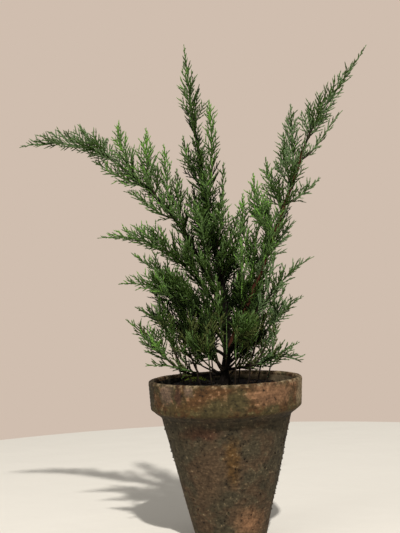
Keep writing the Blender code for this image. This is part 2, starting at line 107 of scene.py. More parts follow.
# The trunk: it leans over to the left and becomes the middle leader.
TRUNK_LINE = (
    (0, 0, 196.5),
    (0, 0, 204),
    (0, 0, 212),
    (5, 1, 250),
    (3, 2, 310),
    (-6, 3, 370),
    (-15, 4, 430),
    (-21, 4, 480),
    (-27, 4, 530),
)
TRUNK_RADII = (5.4, 1.5)
FLARE_RADIUS = 9.5
FLARE_HEIGHT = 16

# The woody part of the two long arms: the line, and the radii at its ends.
ARM_LINES = {
    "bough_right_arm": ((5, 0, 236), (56, -20, 353), (95, -32, 453), (112, -36, 498)),
    "bough_left_arm": ((4, 0, 285), (-45, 12, 394), (-91, 22, 454), (-130, 30, 490)),
}
ARM_RADII = {"bough_right_arm": (3.6, 1.7), "bough_left_arm": (3.2, 1.5)}

# The other boughs: the height where each leaves the trunk, its tip, its elevation in
# degrees where it leaves and where it ends, and its radii.
BOUGHS = {
    "bough_left_high": (276, (-52, -8, 357), 62, 48, 2.2, 1.3),
    "bough_left_mid": (244, (-46, -18, 300), 60, 42, 2.2, 1.3),
    "bough_left_low": (229, (-44, 26, 254), 52, 38, 2.2, 1.3),
    "bough_left_foot": (209, (-52, -26, 216), 10, 30, 2.4, 1.6),
    "bough_right_high": (226, (46, -30, 291), 62, 48, 2.2, 1.3),
    "bough_right_mid": (216, (46, 20, 251), 52, 42, 2.2, 1.3),
    "bough_right_low": (213, (43, -10, 222), 20, 22, 2.2, 1.4),
}

# Each mass of foliage on a named limb: the limb, how far along it the stem leaves, the
# stem's tip, its elevation where it leaves and where it ends, or None to follow the
# limb, and the length of its longest side shoots.
SHOOTS = {
    "leader_tip": ("trunk", 1, (-37, 3, 640), None, 86, 35),
    "leader_right": ("trunk", 0.70, (-7, -8, 565), 60, 92, 28),
    "leader_left": ("trunk", 0.74, (-43, 12, 522), 60, 84, 33),
    "leader_low": ("trunk", 0.60, (9, 12, 485), 55, 86, 19),
    "crown_right": ("trunk", 0.47, (24, -22, 417), 48, 74, 24),
    "crown_left": ("trunk", 0.50, (-40, -20, 450), 55, 84, 41),
    "left_arm_tip": ("bough_left_arm", 1, (-263, 44, 520), None, -12, 41),
    "left_arm_shoot_1": ("bough_left_arm", 0.88, (-128, 34, 549), 62, 100, 34),
    "left_arm_shoot_2": ("bough_left_arm", 0.72, (-91, 16, 535), 60, 92, 40),
    "left_arm_shoot_3": ("bough_left_arm", 0.60, (-69, 34, 515), 60, 86, 28),
    "left_arm_shoot_4": ("bough_left_arm", 0.46, (-53, 2, 478), 60, 84, 32),
    "left_arm_under_1": ("bough_left_arm", 0.82, (-166, 40, 497), 8, 26, 32),
    "left_arm_under_2": ("bough_left_arm", 0.58, (-124, 30, 454), 8, 14, 25),
    "left_high": ("bough_left_high", 1, (-156, -20, 391), None, -6, 42),
    "left_upper": ("trunk", 0.22, (-118, 40, 372), 50, 38, 25),
    "left_mid": ("bough_left_mid", 1, (-130, -34, 331), None, -8, 62),
    "left_low": ("bough_left_low", 1, (-116, 44, 299), None, 26, 60),
    "left_foot": ("bough_left_foot", 1, (-122, -46, 286), None, 36, 54),
    "left_rim": ("bough_left_foot", 0.5, (-98, -66, 229), 16, -4, 19),
    "right_arm_tip": ("bough_right_arm", 1, (192, -48, 619), None, 58, 40),
    "right_arm_fork": ("bough_right_arm", 0.93, (157, -58, 536), 22, 40, 17),
    "right_arm_shoot_1": ("bough_right_arm", 0.86, (97, -26, 552), 66, 96, 34),
    "right_arm_shoot_2": ("bough_right_arm", 0.80, (84, -48, 513), 62, 96, 41),
    "right_arm_shoot_3": ("bough_right_arm", 0.70, (63, -18, 486), 60, 92, 42),
    "right_arm_shoot_4": ("bough_right_arm", 0.54, (45, -40, 464), 60, 96, 44),
    "right_arm_shoot_5": ("bough_right_arm", 0.38, (32, -20, 441), 60, 98, 31),
    "right_arm_shoot_6": ("bough_right_arm", 0.17, (26, -40, 384), 56, 92, 30),
    "right_arm_outer": ("bough_right_arm", 0.72, (126, -60, 453), 20, 34, 26),
    "right_arm_inner": ("bough_right_arm", 0.48, (100, 4, 404), 30, 24, 50),
    "right_high": ("bough_right_high", 1, (115, -52, 356), None, 22, 30),
    "right_mid": ("bough_right_mid", 1, (109, 38, 305), None, 22, 42),
    "right_low": ("bough_right_low", 1, (95, -24, 248), None, 26, 44),
}

# The masses that fill the front and back, as in the source: a fan from the trunk's foot
# and a collar of masses one above the other.
FAN_AZIMUTHS = (-128, -96, -66, 56, 92, 126)
FAN_FOOT = 212
FAN_FOOT_STEP = 6
FAN_REACH = 84
FAN_REACH_STEP = 7
FAN_TOP = 270
FAN_TOP_STEP = 23
FAN_SPRAY = 60
FAN_LEAN = (44, 56)
COLLAR_MASSES = 10
COLLAR_FEET = (246, 404)
COLLAR_SPREAD = 46
COLLAR_REACH = (70, 34)
COLLAR_RISE = 74
COLLAR_SPRAY = (58, 30)
COLLAR_LEAN = (44, 74)
GOLDEN_RATIO = 0.618
GOLDEN_ANGLE = math.radians(137.5)

# More stems that fill the bush, with the columns of SHOOTS but no names.
FILLING_STEMS = (
    ("bough_left_foot", 0.62, (-52, -14, 300), 60, 84, 44),
    ("bough_left_mid", 0.45, (-48, -44, 330), 60, 78, 46),
    ("bough_left_low", 0.8, (-66, 8, 318), 70, 84, 46),
    ("bough_left_high", 0.4, (-44, -28, 372), 66, 80, 42),
    ("bough_left_low", 0.9, (-86, 0, 316), 56, 62, 44),
    ("bough_left_low", 0.6, (-92, 20, 284), 40, 30, 40),
    ("bough_right_low", 0.8, (90, -34, 228), 14, -24, 34),
    ("bough_right_low", 0.6, (62, 26, 252), 40, 40, 38),
    ("bough_left_foot", 0.95, (-80, -40, 296), 56, 76, 40),
    ("bough_left_mid", 0.75, (-84, -12, 352), 50, 60, 40),
    ("bough_left_high", 0.5, (-54, 4, 388), 66, 80, 30),
    ("bough_left_mid", 0.8, (-71, -16, 352), 60, 78, 34),
    ("bough_left_high", 0.9, (-60, 6, 364), 60, 70, 32),
    ("bough_left_mid", 0.9, (-84, -22, 330), 50, 60, 38),
    ("bough_left_arm", 0.12, (-22, -30, 412), 66, 92, 34),
    ("bough_left_arm", 0.2, (-46, 34, 404), 60, 92, 34),
    ("bough_right_arm", 0.26, (62, -10, 398), 66, 88, 32),
    ("bough_left_foot", 0.7, (-64, -16, 250), 40, 60, 28),
    ("bough_right_low", 0.7, (48, -12, 296), 60, 80, 44),
    ("bough_right_low", 0.9, (72, 2, 288), 50, 70, 42),
    ("bough_right_low", 0.55, (66, -34, 226), 12, 6, 34),
    ("bough_right_mid", 0.8, (80, 26, 338), 56, 74, 28),
    ("bough_right_arm", 0.16, (46, -30, 396), 70, 90, 36),
    ("bough_right_mid", 0.5, (54, -2, 350), 66, 84, 34),
    ("bough_right_high", 0.9, (67, -36, 362), 66, 84, 28),
    ("bough_right_mid", 0.8, (82, 10, 318), 50, 70, 22),
    ("bough_right_low", 0.4, (30, -26, 240), 30, 50, 22),
    ("bough_right_arm", 0.3, (66, -34, 404), 70, 90, 42),
)

# Thin stems that rise from the trunk's foot and fill the bush low down: how many there are,
# where they leave the trunk, how far out and up their tips stand, and their elevations.
BASAL_STEMS = 8
BASAL_FEET = (201, 216)
BASAL_REACH = (30, 80)
BASAL_TOPS = (316, 252)
BASAL_LEAN = (14, 80)
BASAL_SPRAY = 44
FILLED_FROM = 0.44  # these stems are bare up to this share of their length

# Low stems that run through the soil from the trunk's foot and rise beside it: where each one
# comes up, the height of its tip, and the length of its side shoots.
SOIL_STEMS = (
    (-60, -12, 278, 34),
    (-50, 16, 292, 36),
    (-37, -30, 300, 38),
    (-20, -46, 284, 34),
    (13, -46, 288, 34),
    (33, -26, 292, 36),
    (48, 4, 284, 36),
    (60, -16, 266, 32),
    (22, 42, 288, 36),
    (-16, 46, 288, 36),
)
SOIL_RUN = ((0, 198), (0.45, 193), (0.84, 197), (1, 226))  # share of the way out, and height
SOIL_SPREAD = 1.12  # how much further out the tip stands
RISEN_FROM = 0.6

# The hollow in front of the trunk, where the trunk shows between the sprays: its foot and top,
# the trunk's middle at its foot, how far that leans for each millimetre up, its half width,
# and the longest shoot that stands in it.
HOLLOW_HEIGHTS = (232, 334)
HOLLOW_FOOT = 3
HOLLOW_LEAN = -0.11
HOLLOW_HALF = 11
HOLLOW_SHOOT = 14

# The stems of the masses, and how finely the limbs' lines are drawn.
STEM_RADII = (1.4, 0.45)
CURVE_STEPS = 24
KNOT_STEPS = 12
HEIGHT_STEPS = 400
CELL_PITCH = 3

# Where the stems of the masses begin to bear shoots: those that start low are bare further up.
STEM_CLAD_FROM = 0.05
BARE_SHARE = 0.24
BARE_BELOW = 262
STEM_CLAD_TO = 0.99
FILLING_CLAD_TO = 0.98

# Shoots that stand on the limbs themselves, between the masses: where they begin along the
# limb, and the length of the longest at the limb's foot and at its tip.
LIMB_SHOOTS = {
    "trunk": (0.24, 28, 34),
    "bough_right_arm": (0.12, 46, 24),
    "bough_left_arm": (0.10, 34, 28),
    "bough_left_high": (0.25, 46, 34),
    "bough_left_mid": (0.25, 50, 40),
    "bough_left_low": (0.30, 50, 40),
    "bough_left_foot": (0.78, 30, 30),
    "bough_right_high": (0.25, 48, 36),
    "bough_right_mid": (0.25, 48, 36),
    "bough_right_low": (0.35, 44, 36),
}

# A side shoot leans out from its stem, less near the tip, and curves towards the light. It is
# tested for room at two shares of its length, and where it finds none it is tried further
# round the stem and then shorter.
SHOOT_LEANS = (44, 27)
LEAN_VARIETY = (0.85, 1.15)
SHOOT_UPTURN = 0.24
SHOOT_TAPER = 0.45
SHOOT_VARIETY = (0.82, 1.1)
SHOOT_TESTS = (0.5, 1)
LIMB_SHOOT_VARIETY = (0.5, 1)
LIMB_SHOOT_TESTS = (0.6, 1)
LIMB_SHOOT_OUT = 0.3  # how far out the shoots on limbs count when tints are dealt out
HANGING_GAIN = 1.6

# A shoot is no longer than the last one and a share of the stem beyond it, so that each mass
# ends in a point.
LAST_SHOOT = 2
SHOOT_WHIP = 0.52
LEADER_WHIPS = {
    "leader_tip": 0.34,
    "left_arm_tip": 0.42,
    "left_high": 0.42,
    "right_arm_tip": 0.27,
    "right_arm_fork": 0.36,
    "right_high": 0.4,
}
SHOOT_SIZES = (1, 0.75, 0.5)
SHOOT_TURNS = 5
SHADED_SHARE = 0.4
SHORTEST_SHOOT = 4
LIGHT_PULL = 0.5
LEAST_PULL = 0.05  # a weaker pull to one side counts as none

# Twigs on a side shoot, and finer ones on the longer twigs. Each order has the distance
# between twigs, their length beside their parent's, and the shortest and longest.
TWIG_ORDERS = ((3.1, 0.56, 10, 19), (4.2, 0.55, 8, 10))
TWIG_SPAN = (0.08, 0.86)  # where along a shoot its twigs begin and end
TWIG_LEAN = 35
TWIG_LEAN_VARIETY = (0.85, 1.1)
TWIG_UPTURN = SHOOT_UPTURN / 3
TWIG_TAPER = 0.42
TWIG_VARIETY = (0.8, 1.2)
TWIG_ROLL = 0.25
BARE_FOOT = 0.8  # how much of a shortest twig's length a shoot has before its first twig
FORKED_LENGTH = 17
OUTER_TWIG = 0.7  # the twigs beyond this share of a shoot are a shade fresher

# A cord is a shoot or twig with its scale leaves. Its lengths are a series, and each copy
# is scaled a little from the nearest one. Its core is drawn from rings that get narrower.
CORD_SHORTEST = 4
CORD_RATIO = 1.22
CORD_SIZES = 13
CORD_KINDS = 2
CORD_RADIUS = 0.66
CORD_RADIUS_GROWTH = 0.006
CORD_BEND = 0.05
CORD_BEND_GROWTH = 0.005
CORD_RINGS = (0, 0.4, 0.8)
CORD_TAPER = 0.35

# The scale leaves stand in pairs along a cord, each pair crosswise to the one before. The two
# kinds of cord differ by a shift along it, as a share of the distance between pairs, and a turn.
# A leaf's foot is sunk in the cord, its back is keeled, and it leans out a little.
LONG_CORD = 20  # longer ones have their leaves further apart
LONG_CORD_PITCH = 1.3
FIRST_LEAF = 0.3
LAST_LEAF = 0.97
KIND_SHIFT = 0.25
KIND_TURN = 0.8
LEAF_TAPER = 0.3
LEAF_LEAN = 0.08
LEAF_SUNK = 0.6
LEAF_KEEL = 0.28
LOOSE_LEAF_SUNK = 0.2

# How the tints are dealt out. A spray scores more the further it stands out from the trunk's
# line and up from the bush, and towards its stem's tip, and chance adds to it, so the outer sprays
# get lighter tints and the inner ones darker: fresher and older growth, and also painted light and
# shade. The masses named here lean towards fresh green or blue green. Each tint has the score
# that it starts at.
TRUNK_FOOT = 196
TRUNK_RISE = 334
BUSH_RADIUS = 95
BUSH_TOP = 380
ARM_RISE = 260
MOST_OUT = 1.2
OUT_SCORE = 0.45
TIP_SCORE = 0.3
CHANCE_SCORE = 0.13
LOW_FOLIAGE = 330  # foliage lower than this is older and darker
LOW_SCORE = 0.11
OLD_FOLIAGE = 294  # and lower than this some of it is olive
# Painted light: sprays round this height get lighter tints, where the sun reaches further in.
CROWN_HEIGHT = 400  # the sun reaches further in round this height
CROWN_HALF = 80
CROWN_SCORE = 0.4
FRESH_MASSES = (
    "leader_right",
    *(f"left_arm_shoot_{number}" for number in (1, 2, 3)),
    *(f"right_arm_shoot_{number}" for number in (4, 5, 6)),
)
BLUE_MASSES = (
    "left_arm_tip",
    *(f"right_arm_{name}" for name in ("tip", "fork", "shoot_1", "shoot_2", "outer", "inner")),
    *("right_high", "right_mid", "right_low"),
)
FRESH_FOOT_SCORE = 0.04
FRESH_TIP_SCORE = 0.2
FRESH_ABOVE = 0.92
MID_ABOVE = 0.56
DARK_ABOVE = 0.32
BLUE_ABOVE = 0.3
BLUE_CHANCE = 0.7
OLIVE_BELOW = 0.38
OLIVE_CHANCE = 0.6

# Each tint, and the one that the outer twigs of its sprays have.
FRESHER = {
    "deep": "dark",
    "dark": "mid",
    "mid": "fresh",
    "fresh": "fresh",
    "blue": "mid",
    "olive": "dark",
}


def linear(colour):
    """A linear colour from an sRGB hex value such as #7C5840."""
    channels = (int(colour[place : place + 2], 16) / 255 for place in (1, 3, 5))
    return tuple(
        value / 12.92 if value <= 0.04045 else ((value + 0.055) / 1.055) ** 2.4
        for value in channels
    )


def colour_property(name, description, value):
    """A colour that a user can change, from an sRGB hex value."""
    return FloatVectorProperty(
        name=name,
        description=description,
        default=linear(value),
        subtype="COLOR",
        size=3,
        min=0,
        max=1,
    )


def length_property(name, description, millimetres):
    """A length that a user can change."""
    return FloatProperty(
        name=name, description=description, default=millimetres * MM, min=0, unit="LENGTH"
    )


class PotSettings(bpy.types.PropertyGroup):
    """Sizes and colours of the terracotta pot."""

    ripple: length_property("Throwing ripple", "Height of the ripples that throwing left", 0.16)
    wobble: length_property("Wobble", "How far the thrown wall strays from round", 0.7)
    pits: length_property("Pit depth", "Depth of the pits in the weathered face", 1.1)
    crust: length_property("Crust height", "Height of the crumbs of lime and moss", 0.9)
    clay: colour_property("Clay", "Colour of the fired clay", "#523921")
    red_clay: colour_property("Red clay", "Colour where the clay shows freshest", "#74553C")
    pink_clay: colour_property("Pink clay", "Colour of the clay where lime has paled it", "#645141")
    rust: colour_property("Rust", "Colour of the dark red streaks", "#473123")
    wall: colour_property("Wall", "Colour of the clay on the wall", "#4D3D2C")
    algae: colour_property("Algae", "Colour of the algae on the wall", "#40392A")
    # Painted shade: this colour is the painted shadow just under the band, and the dark of the
    # pits, which is painted shade together with their dirt.
    shade: colour_property("Shadow_and_stain", "Colour of the dark stains", "#29231A")
    ochre: colour_property("Ochre", "Colour of the rusty streaks", "#4F3A20")
    moss: colour_property("Moss film", "Colour of the green film on the band", "#453C24")
    dust: colour_property("Dust", "Colour of the lime and dust", "#77664D")
    inside: colour_property("Inside", "Colour of the damp inner wall", "#1B1912")


class SoilSettings(bpy.types.PropertyGroup):
    """Sizes and colours of the soil in the pot."""

    lumps: length_property("Lumps", "Height of the soil's lumps", 2.2)
    crumb: length_property("Crumb size", "Size of the largest loose crumbs", 3.6)
    crumbs: IntProperty(name="Crumbs", description="Number of loose crumbs", default=420, min=0)
    clinging_crumb: length_property("Clinging crumb", "Size of the largest crumbs on the wall", 3.2)
    earth: colour_property("Earth", "Colour of the damp soil", "#17110D")
    fibre: colour_property("Fibre", "Colour of the dry crumbs", "#3E3024")
    moss: colour_property("Moss", "Colour of the moss cushion", "#5A651E")


class PlantSettings(bpy.types.PropertyGroup):
    """Sizes and colours of the juniper."""

    seed: IntProperty(name="Seed", description="Seed of the plant's growth", default=11)
    shoot_pitch: length_property("Shoot spacing", "Distance between side shoots on a stem", 3.4)
    limb_pitch: length_property("Limb spacing", "Distance between shoots on a limb", 3.3)
    leaf_length: length_property("Leaf length", "Length of a scale leaf", 3)
    leaf_width: length_property("Leaf width", "Width of a scale leaf", 1.25)
    leaf_pitch: length_property("Leaf spacing", "Distance between pairs of leaves", 2.7)
    relief: length_property("Bark relief", "Height of the bark's strips on the trunk", 0.55)
    # Painted shade: this near black stands for the shade that the bush casts on the trunk and
    # boughs, over the dark old bark.
    shaded_old_bark: colour_property("Old bark", "Colour of the trunk's bark", "#17120E")
    young_bark: colour_property("Young bark", "Colour of the bark on the right arm", "#4E2D20")
    twig_bark: colour_property("Twig bark", "Colour of the bark on twigs", "#31261B")
    # Painted shade: the darkest tint stands for the shade deep inside the bush, as well as for its
    # older foliage.
    deep: colour_property("Deep green", "Foliage deep in the bush", "#1F2E0B")
    dark: colour_property("Dark green", "Older outer foliage", "#3B511B")
    mid: colour_property("Green", "Most of the foliage", "#5E7840")
    fresh: colour_property("Fresh green", "This year's growth", "#709A40")
    blue: colour_property("Blue green", "Foliage with a waxy bloom", "#6D8355")
    olive: colour_property("Olive green", "Old foliage low down", "#5A6232")


class StageSettings(bpy.types.PropertyGroup):
    """The floor, the background and the lights."""

    floor: colour_property("Floor", "Colour of the floor", "#EAE2D4")
    backdrop: colour_property("Background", "Colour behind the floor", "#D0BEAF")
    key: FloatProperty(
        name="Main light", description="Power of the main light", default=364, unit="POWER"
    )
    fill: FloatProperty(
        name="Fill light", description="Power of the fill light", default=8, unit="POWER"
    )
    ambient: FloatProperty(
        name="Ambient", description="Strength of the light all round", default=0.31
    )


def add_node(tree, made, name, kind, settings, inputs):
    """Adds a named node with its settings, and sets or links its inputs.

    Text as an input is a link, either to what an earlier node gives first, such as "grain", or
    to an output by name, such as "place.Object".
    """
    node = made[name] = tree.nodes.new(f"ShaderNode{kind}")
    for key, value in settings.items():
        setattr(node, key, value)
    for key, value in inputs.items():
        if isinstance(value, str):
            source, _, output = value.partition(".")
            sockets = made[source].outputs
            given = sockets[output] if output else first_output(made[source])
            tree.links.new(given, node.inputs[key])
        else:
            node.inputs[key].default_value = value


def first_output(node):
    """The first output of a node that its settings leave in use."""
    return next(socket for socket in node.outputs if socket.enabled)


def new_material(name, colour, roughness, ior, specular, rows=()):
    """A Principled material, with nodes from rows of name, kind, settings and inputs.

    The node named shade gives its colour, and the one named relief its normal.
    """
    material = bpy.data.materials.new(name)
    material.use_nodes = True
    tree = material.node_tree
    shader = tree.nodes["Principled BSDF"]
    plain = {"Roughness": roughness, "IOR": ior, "Specular IOR Level": specular, "Metallic": 0}
    for key, value in {"Base Color": (*colour, 1), **plain}.items():
        shader.inputs[key].default_value = value
    made = {}
    for row in rows:
        add_node(tree, made, *row)
    for source, target in (("shade", "Base Color"), ("relief", "Normal")):
        if source in made:
            tree.links.new(first_output(made[source]), shader.inputs[target])
    return material


# The nodes' settings that come up again and again, and the inputs of a mix of two colours.
COLOURS = {"data_type": "RGBA"}
TIMES = {"operation": "MULTIPLY"}
TIMES_AND_PLUS = {"operation": "MULTIPLY_ADD"}
FADE, BELOW, ABOVE = 0, 6, 7


def per_mm(size):
    """The scale of a pattern whose features have a size in millimetres."""
    return 1 / (size * MM)


# Patches on the pot's front: the middle in millimetres along X and Z, the half width and
# half height, and the colour.
BAND_PATCHES = (
    (-98, 186, 10, 30, "algae"),
    (-75, 193, 9, 14, "pink_clay"),
    (-47, 197, 5, 9, "pink_clay"),
    (-60, 190, 6, 18, "rust"),
    (-52, 174, 22, 8, "ochre"),
    (-14, 178, 16, 12, "moss"),
    (12, 186, 18, 13, "moss"),
    (58, 191, 36, 15, "red_clay"),
    (95, 184, 9, 26, "dust"),
)
WALL_PATCHES = (
    (-68, 112, 12, 64, "algae"),
    (4, 108, 11, 34, "ochre"),
    (-24, 92, 18, 44, "wall"),
    (66, 110, 12, 64, "algae"),
    (-30, 144, 26, 10, "rust"),
    (26, 26, 26, 24, "red_clay"),
)
WALL_RADIUS = SHOULDER_RADIUS - 12  # of the wall half way up
WARP = 16  # how far in millimetres the edges of the patches wander
PATCH_DEPTH = 45
PATCH_EDGE = (1.15, 0.5)  # a patch begins and is full at these shares of its half width

# How much lighter or darker than its own colour a material is where it varies.
YOUNG_MOSS = 1.7
GREEN_TWIG = 0.5
CRACKED_BARK = 0.42
FRAYED_BARK = 1.7
FRAYED_LEAST = 0.01


def patch_rows(name, under, patches, radius, settings):
    """Rows of nodes that lay ragged patches over a colour, on the front of a round wall."""
    rows = []
    begins, full = PATCH_EDGE
    for index, (x, z, half_width, half_height, colour) in enumerate(patches):
        middle = Vector((x, -math.sqrt(radius**2 - x**2), z)) + Vector((1, 1, 1)) * WARP / 2
        scale = Vector((per_mm(half_width), per_mm(PATCH_DEPTH), per_mm(half_height)))
        away, far, mask = (f"{name}_{part}_{index}" for part in ("away", "far", "mask"))
        shifted = {0: "wandering", 1: scale, 2: -middle * MM * scale}
        mix = {FADE: mask, BELOW: under, ABOVE: (*getattr(settings, colour), 1)}
        under = f"{name}_{index}"
        rows += [
            (away, "VectorMath", TIMES_AND_PLUS, shifted),
            (far, "VectorMath", {"operation": "LENGTH"}, {0: away}),
            (mask, "MapRange", {}, {"Value": far, "From Min": begins, "From Max": full}),
            (under, "Mix", COLOURS, mix),
        ]
    return rows, under


def terracotta(settings):
    """Terracotta, thrown on a wheel and fired without glaze, then left out for years.

    The bare clay is matt and grainy, and faint level lines are left from the throwing. Rain has
    worn it to red and ochre places, lime has paled it, and algae and moss have darkened the rest.
    """
    clay, wall, algae, moss, shade, dust, red = (
        (*getattr(settings, name), 1)
        for name in ("clay", "wall", "algae", "moss", "shade", "dust", "red_clay")
    )
    wander = {0: "warp.Color", 1: (WARP * MM,) * 3, 2: "place.Object"}
    band_patches, band = patch_rows("band", "band_worn", BAND_PATCHES, RIM_RADIUS, settings)
    wall_patches, body = patch_rows("wall", "wall_skin", WALL_PATCHES, WALL_RADIUS, settings)
    rows = [
        ("place", "TexCoord", {}, {}),
        ("height", "SeparateXYZ", {}, {0: "place.Object"}),
        ("flat", "VectorMath", TIMES, {0: "place.Object", 1: (0.12, 0.12, 1)}),
    ]
    # What the eye sees: blotches of 26 mm, mottling of 7 mm, flecks of 3 mm, grains of 1 mm.
    for name, vector, size, detail in (
        ("blotches", "place.Object", 26, 6),
        ("mottle", "place.Object", 7, 6),
        ("flecks", "place.Object", 3, 3),
        ("grain", "place.Object", 1.1, 2),
        ("lines", "flat", 2, 2),
        ("warp", "place.Object", 9, 5),
    ):
        pattern = {"Vector": vector, "Scale": per_mm(size), "Detail": detail}
        rows.append((name, "TexNoise", {}, pattern))
    # Where something shows: from nought at one value of a pattern, or a height in metres, to
    # fully at another.
    for name, source, low, high in (
        ("blotched", "blotches", 0.44, 0.6),
        ("mottled", "mottle", 0.46, 0.58),
        ("peaks", "mottle", 0.56, 0.64),
        ("hollows", "mottle", 0.44, 0.36),
        ("holes", "flecks", 0.42, 0.36),
        ("specks", "flecks", 0.62, 0.78),
        ("low", "height.Z", 0.18, 0.171),
        ("on_wall", "height.Z", 0.167, 0.163),
        ("edge", "height.Z", 0.2, 0.204),
    ):
        rows.append((name, "MapRange", {}, {"Value": source, "From Min": low, "From Max": high}))
    # Each pattern also makes the colour a little darker or lighter.
    for name, source, low, high in (
        ("gain_1", "mottle", 0.7, 1.35),
        ("gain_2", "flecks", 0.75, 1.3),
        ("gain_3", "lines", 0.84, 1.16),
    ):
        span = {"From Min": 0.35, "From Max": 0.65, "To Min": low, "To Max": high}
        rows.append((name, "MapRange", {}, {"Value": source, **span}))
    # Painted shadow: from 140 mm up to the band's foot the wall is darkened towards the stain
    # colour, as the shadow under the band's overhang.
    under = {"Value": "height.Z", "From Min": 0.14, "From Max": 0.158, "To Max": 0.6}
    rows += [
        ("wandering", "VectorMath", TIMES_AND_PLUS, wander),
        # The band: brown clay with a film of moss, redder where it is worn.
        ("band_base", "Mix", COLOURS, {FADE: "blotched", BELOW: clay, ABOVE: moss}),
        ("band_worn", "Mix", COLOURS, {FADE: "peaks", BELOW: "band_base", ABOVE: red}),
        *band_patches,
        ("mossy", "Math", TIMES, {0: "low", 1: "mottled"}),
        ("band", "Mix", COLOURS, {FADE: "mossy", BELOW: band, ABOVE: moss}),
        # The wall under it: a skin of algae over brown clay, with a painted shadow that darkens it
        # just under the band.
        ("wall_base", "Mix", COLOURS, {FADE: "blotched", BELOW: algae, ABOVE: wall}),
        ("wall_skin", "Mix", COLOURS, {FADE: "peaks", BELOW: "wall_base", ABOVE: algae}),
        *wall_patches,
        ("under", "MapRange", {}, under),
        ("body", "Mix", COLOURS, {FADE: "under", BELOW: body, ABOVE: shade}),
        ("both", "Mix", COLOURS, {FADE: "on_wall", BELOW: "band", ABOVE: "body"}),
        # The pits are painted dark, as the shade and dirt in them, and the lime is pale, each where
        # the mottling gathers it.
        ("pitted", "Math", TIMES, {0: "holes", 1: "hollows"}),
        ("limed", "Math", TIMES, {0: "specks", 1: "mottled"}),
        ("pits", "Mix", COLOURS, {FADE: "pitted", BELOW: "both", ABOVE: shade}),
        ("lime", "Mix", COLOURS, {FADE: "limed", BELOW: "pits", ABOVE: dust}),
        ("rubbed", "Math", TIMES, {0: "edge", 1: "mottled"}),
        ("worn", "Mix", COLOURS, {FADE: "rubbed", BELOW: "lime", ABOVE: dust}),
        ("gain_12", "Math", TIMES, {0: "gain_1", 1: "gain_2"}),
        ("gain_123", "Math", TIMES, {0: "gain_12", 1: "gain_3"}),
        ("shade", "VectorMath", {"operation": "SCALE"}, {0: "worn", "Scale": "gain_123"}),
        ("rough", "Math", {"operation": "ADD"}, {0: "flecks", 1: "grain"}),
        ("relief", "Bump", {}, {"Height": "rough", "Distance": 0.8 * MM, "Strength": 0.8}),
    ]
    name = "terracotta, thrown and weathered"
    return new_material(name, settings.clay, roughness=0.92, ior=1.5, specular=0.2, rows=rows)


def stained_clay(settings):
    """Terracotta inside the pot: near black with damp soil, drier and browner at the lip, and paler
    further down its right side as painted light.
    """
    dust, algae, inside = ((*getattr(settings, name), 1) for name in ("dust", "algae", "inside"))
    rows = [
        ("place", "TexCoord", {}, {}),
        ("height", "SeparateXYZ", {}, {0: "place.Object"}),
        ("mottle", "TexNoise", {}, {"Vector": "place.Object", "Scale": per_mm(5), "Detail": 6}),
        ("damp", "MapRange", {}, {"Value": "mottle", "From Min": 0.48, "From Max": 0.64}),
        ("wet", "Mix", COLOURS, {FADE: "damp", BELOW: inside, ABOVE: algae}),
        # Painted light: the pale dust colour reaches further down on the right, where the sun falls
        # on the inner wall.
        ("lit_right", "Math", TIMES_AND_PLUS, {0: "height.X", 1: 0.12, 2: "height.Z"}),
        ("ragged", "Math", TIMES_AND_PLUS, {0: "mottle", 1: 0.012, 2: "lit_right"}),
        ("dried", "MapRange", {}, {"Value": "ragged", "From Min": 0.202, "From Max": 0.21}),
        ("shade", "Mix", COLOURS, {FADE: "dried", BELOW: "wet", ABOVE: dust}),
        ("relief", "Bump", {}, {"Height": "mottle", "Distance": 0.8 * MM, "Strength": 1}),
    ]
    name = "terracotta, soil stained"
    return new_material(name, settings.inside, roughness=0.95, ior=1.5, specular=0.2, rows=rows)


def potting_soil(settings):
    """Potting soil, damp and crumbly: near black, with browner places that have dried."""
    earth, fibre = ((*getattr(settings, name), 1) for name in ("earth", "fibre"))
    rows = [
        ("place", "TexCoord", {}, {}),
        ("crumbs", "TexNoise", {}, {"Vector": "place.Object", "Scale": per_mm(2.6), "Detail": 6}),
        ("areas", "TexNoise", {}, {"Vector": "place.Object", "Scale": per_mm(18), "Detail": 4}),
        ("tops", "MapRange", {}, {"Value": "crumbs", "From Min": 0.52, "From Max": 0.68}),
        ("drier", "MapRange", {}, {"Value": "areas", "From Min": 0.4, "From Max": 0.65}),
        ("dry", "Math", TIMES, {0: "tops", 1: "drier"}),
        ("shade", "Mix", COLOURS, {FADE: "dry", BELOW: earth, ABOVE: fibre}),
        ("relief", "Bump", {}, {"Height": "crumbs", "Distance": 1.2 * MM, "Strength": 1}),
    ]
    name = "potting soil, damp and crumbly"
    return new_material(name, settings.earth, roughness=1, ior=1.45, specular=0.2, rows=rows)


def speckled(name, dark, pale, size, roughness):
    """A matt natural material of two colours that change over a size in millimetres."""
    rows = [
        ("place", "TexCoord", {}, {}),
        ("specks", "TexNoise", {}, {"Vector": "place.Object", "Scale": per_mm(size), "Detail": 4}),
        ("fade", "MapRange", {}, {"Value": "specks", "From Min": 0.4, "From Max": 0.6}),
        ("shade", "Mix", COLOURS, {FADE: "fade", BELOW: (*dark, 1), ABOVE: (*pale, 1)}),
    ]
    return new_material(name, dark, roughness, ior=1.45, specular=0.2, rows=rows)


def dry_soil(settings):
    """Loose crumbs of potting soil: bark fibre and peat that dried browner than the bed."""
    name = "potting soil, dry crumbs"
    return speckled(name, settings.earth, settings.fibre, size=3, roughness=1)


def cushion_moss(settings):
    """Cushion moss: short soft tufts, yellow green where they are young."""
    young = tuple(value * YOUNG_MOSS for value in settings.moss)
    return speckled("moss, low cushion", settings.moss, young, size=5, roughness=0.8)


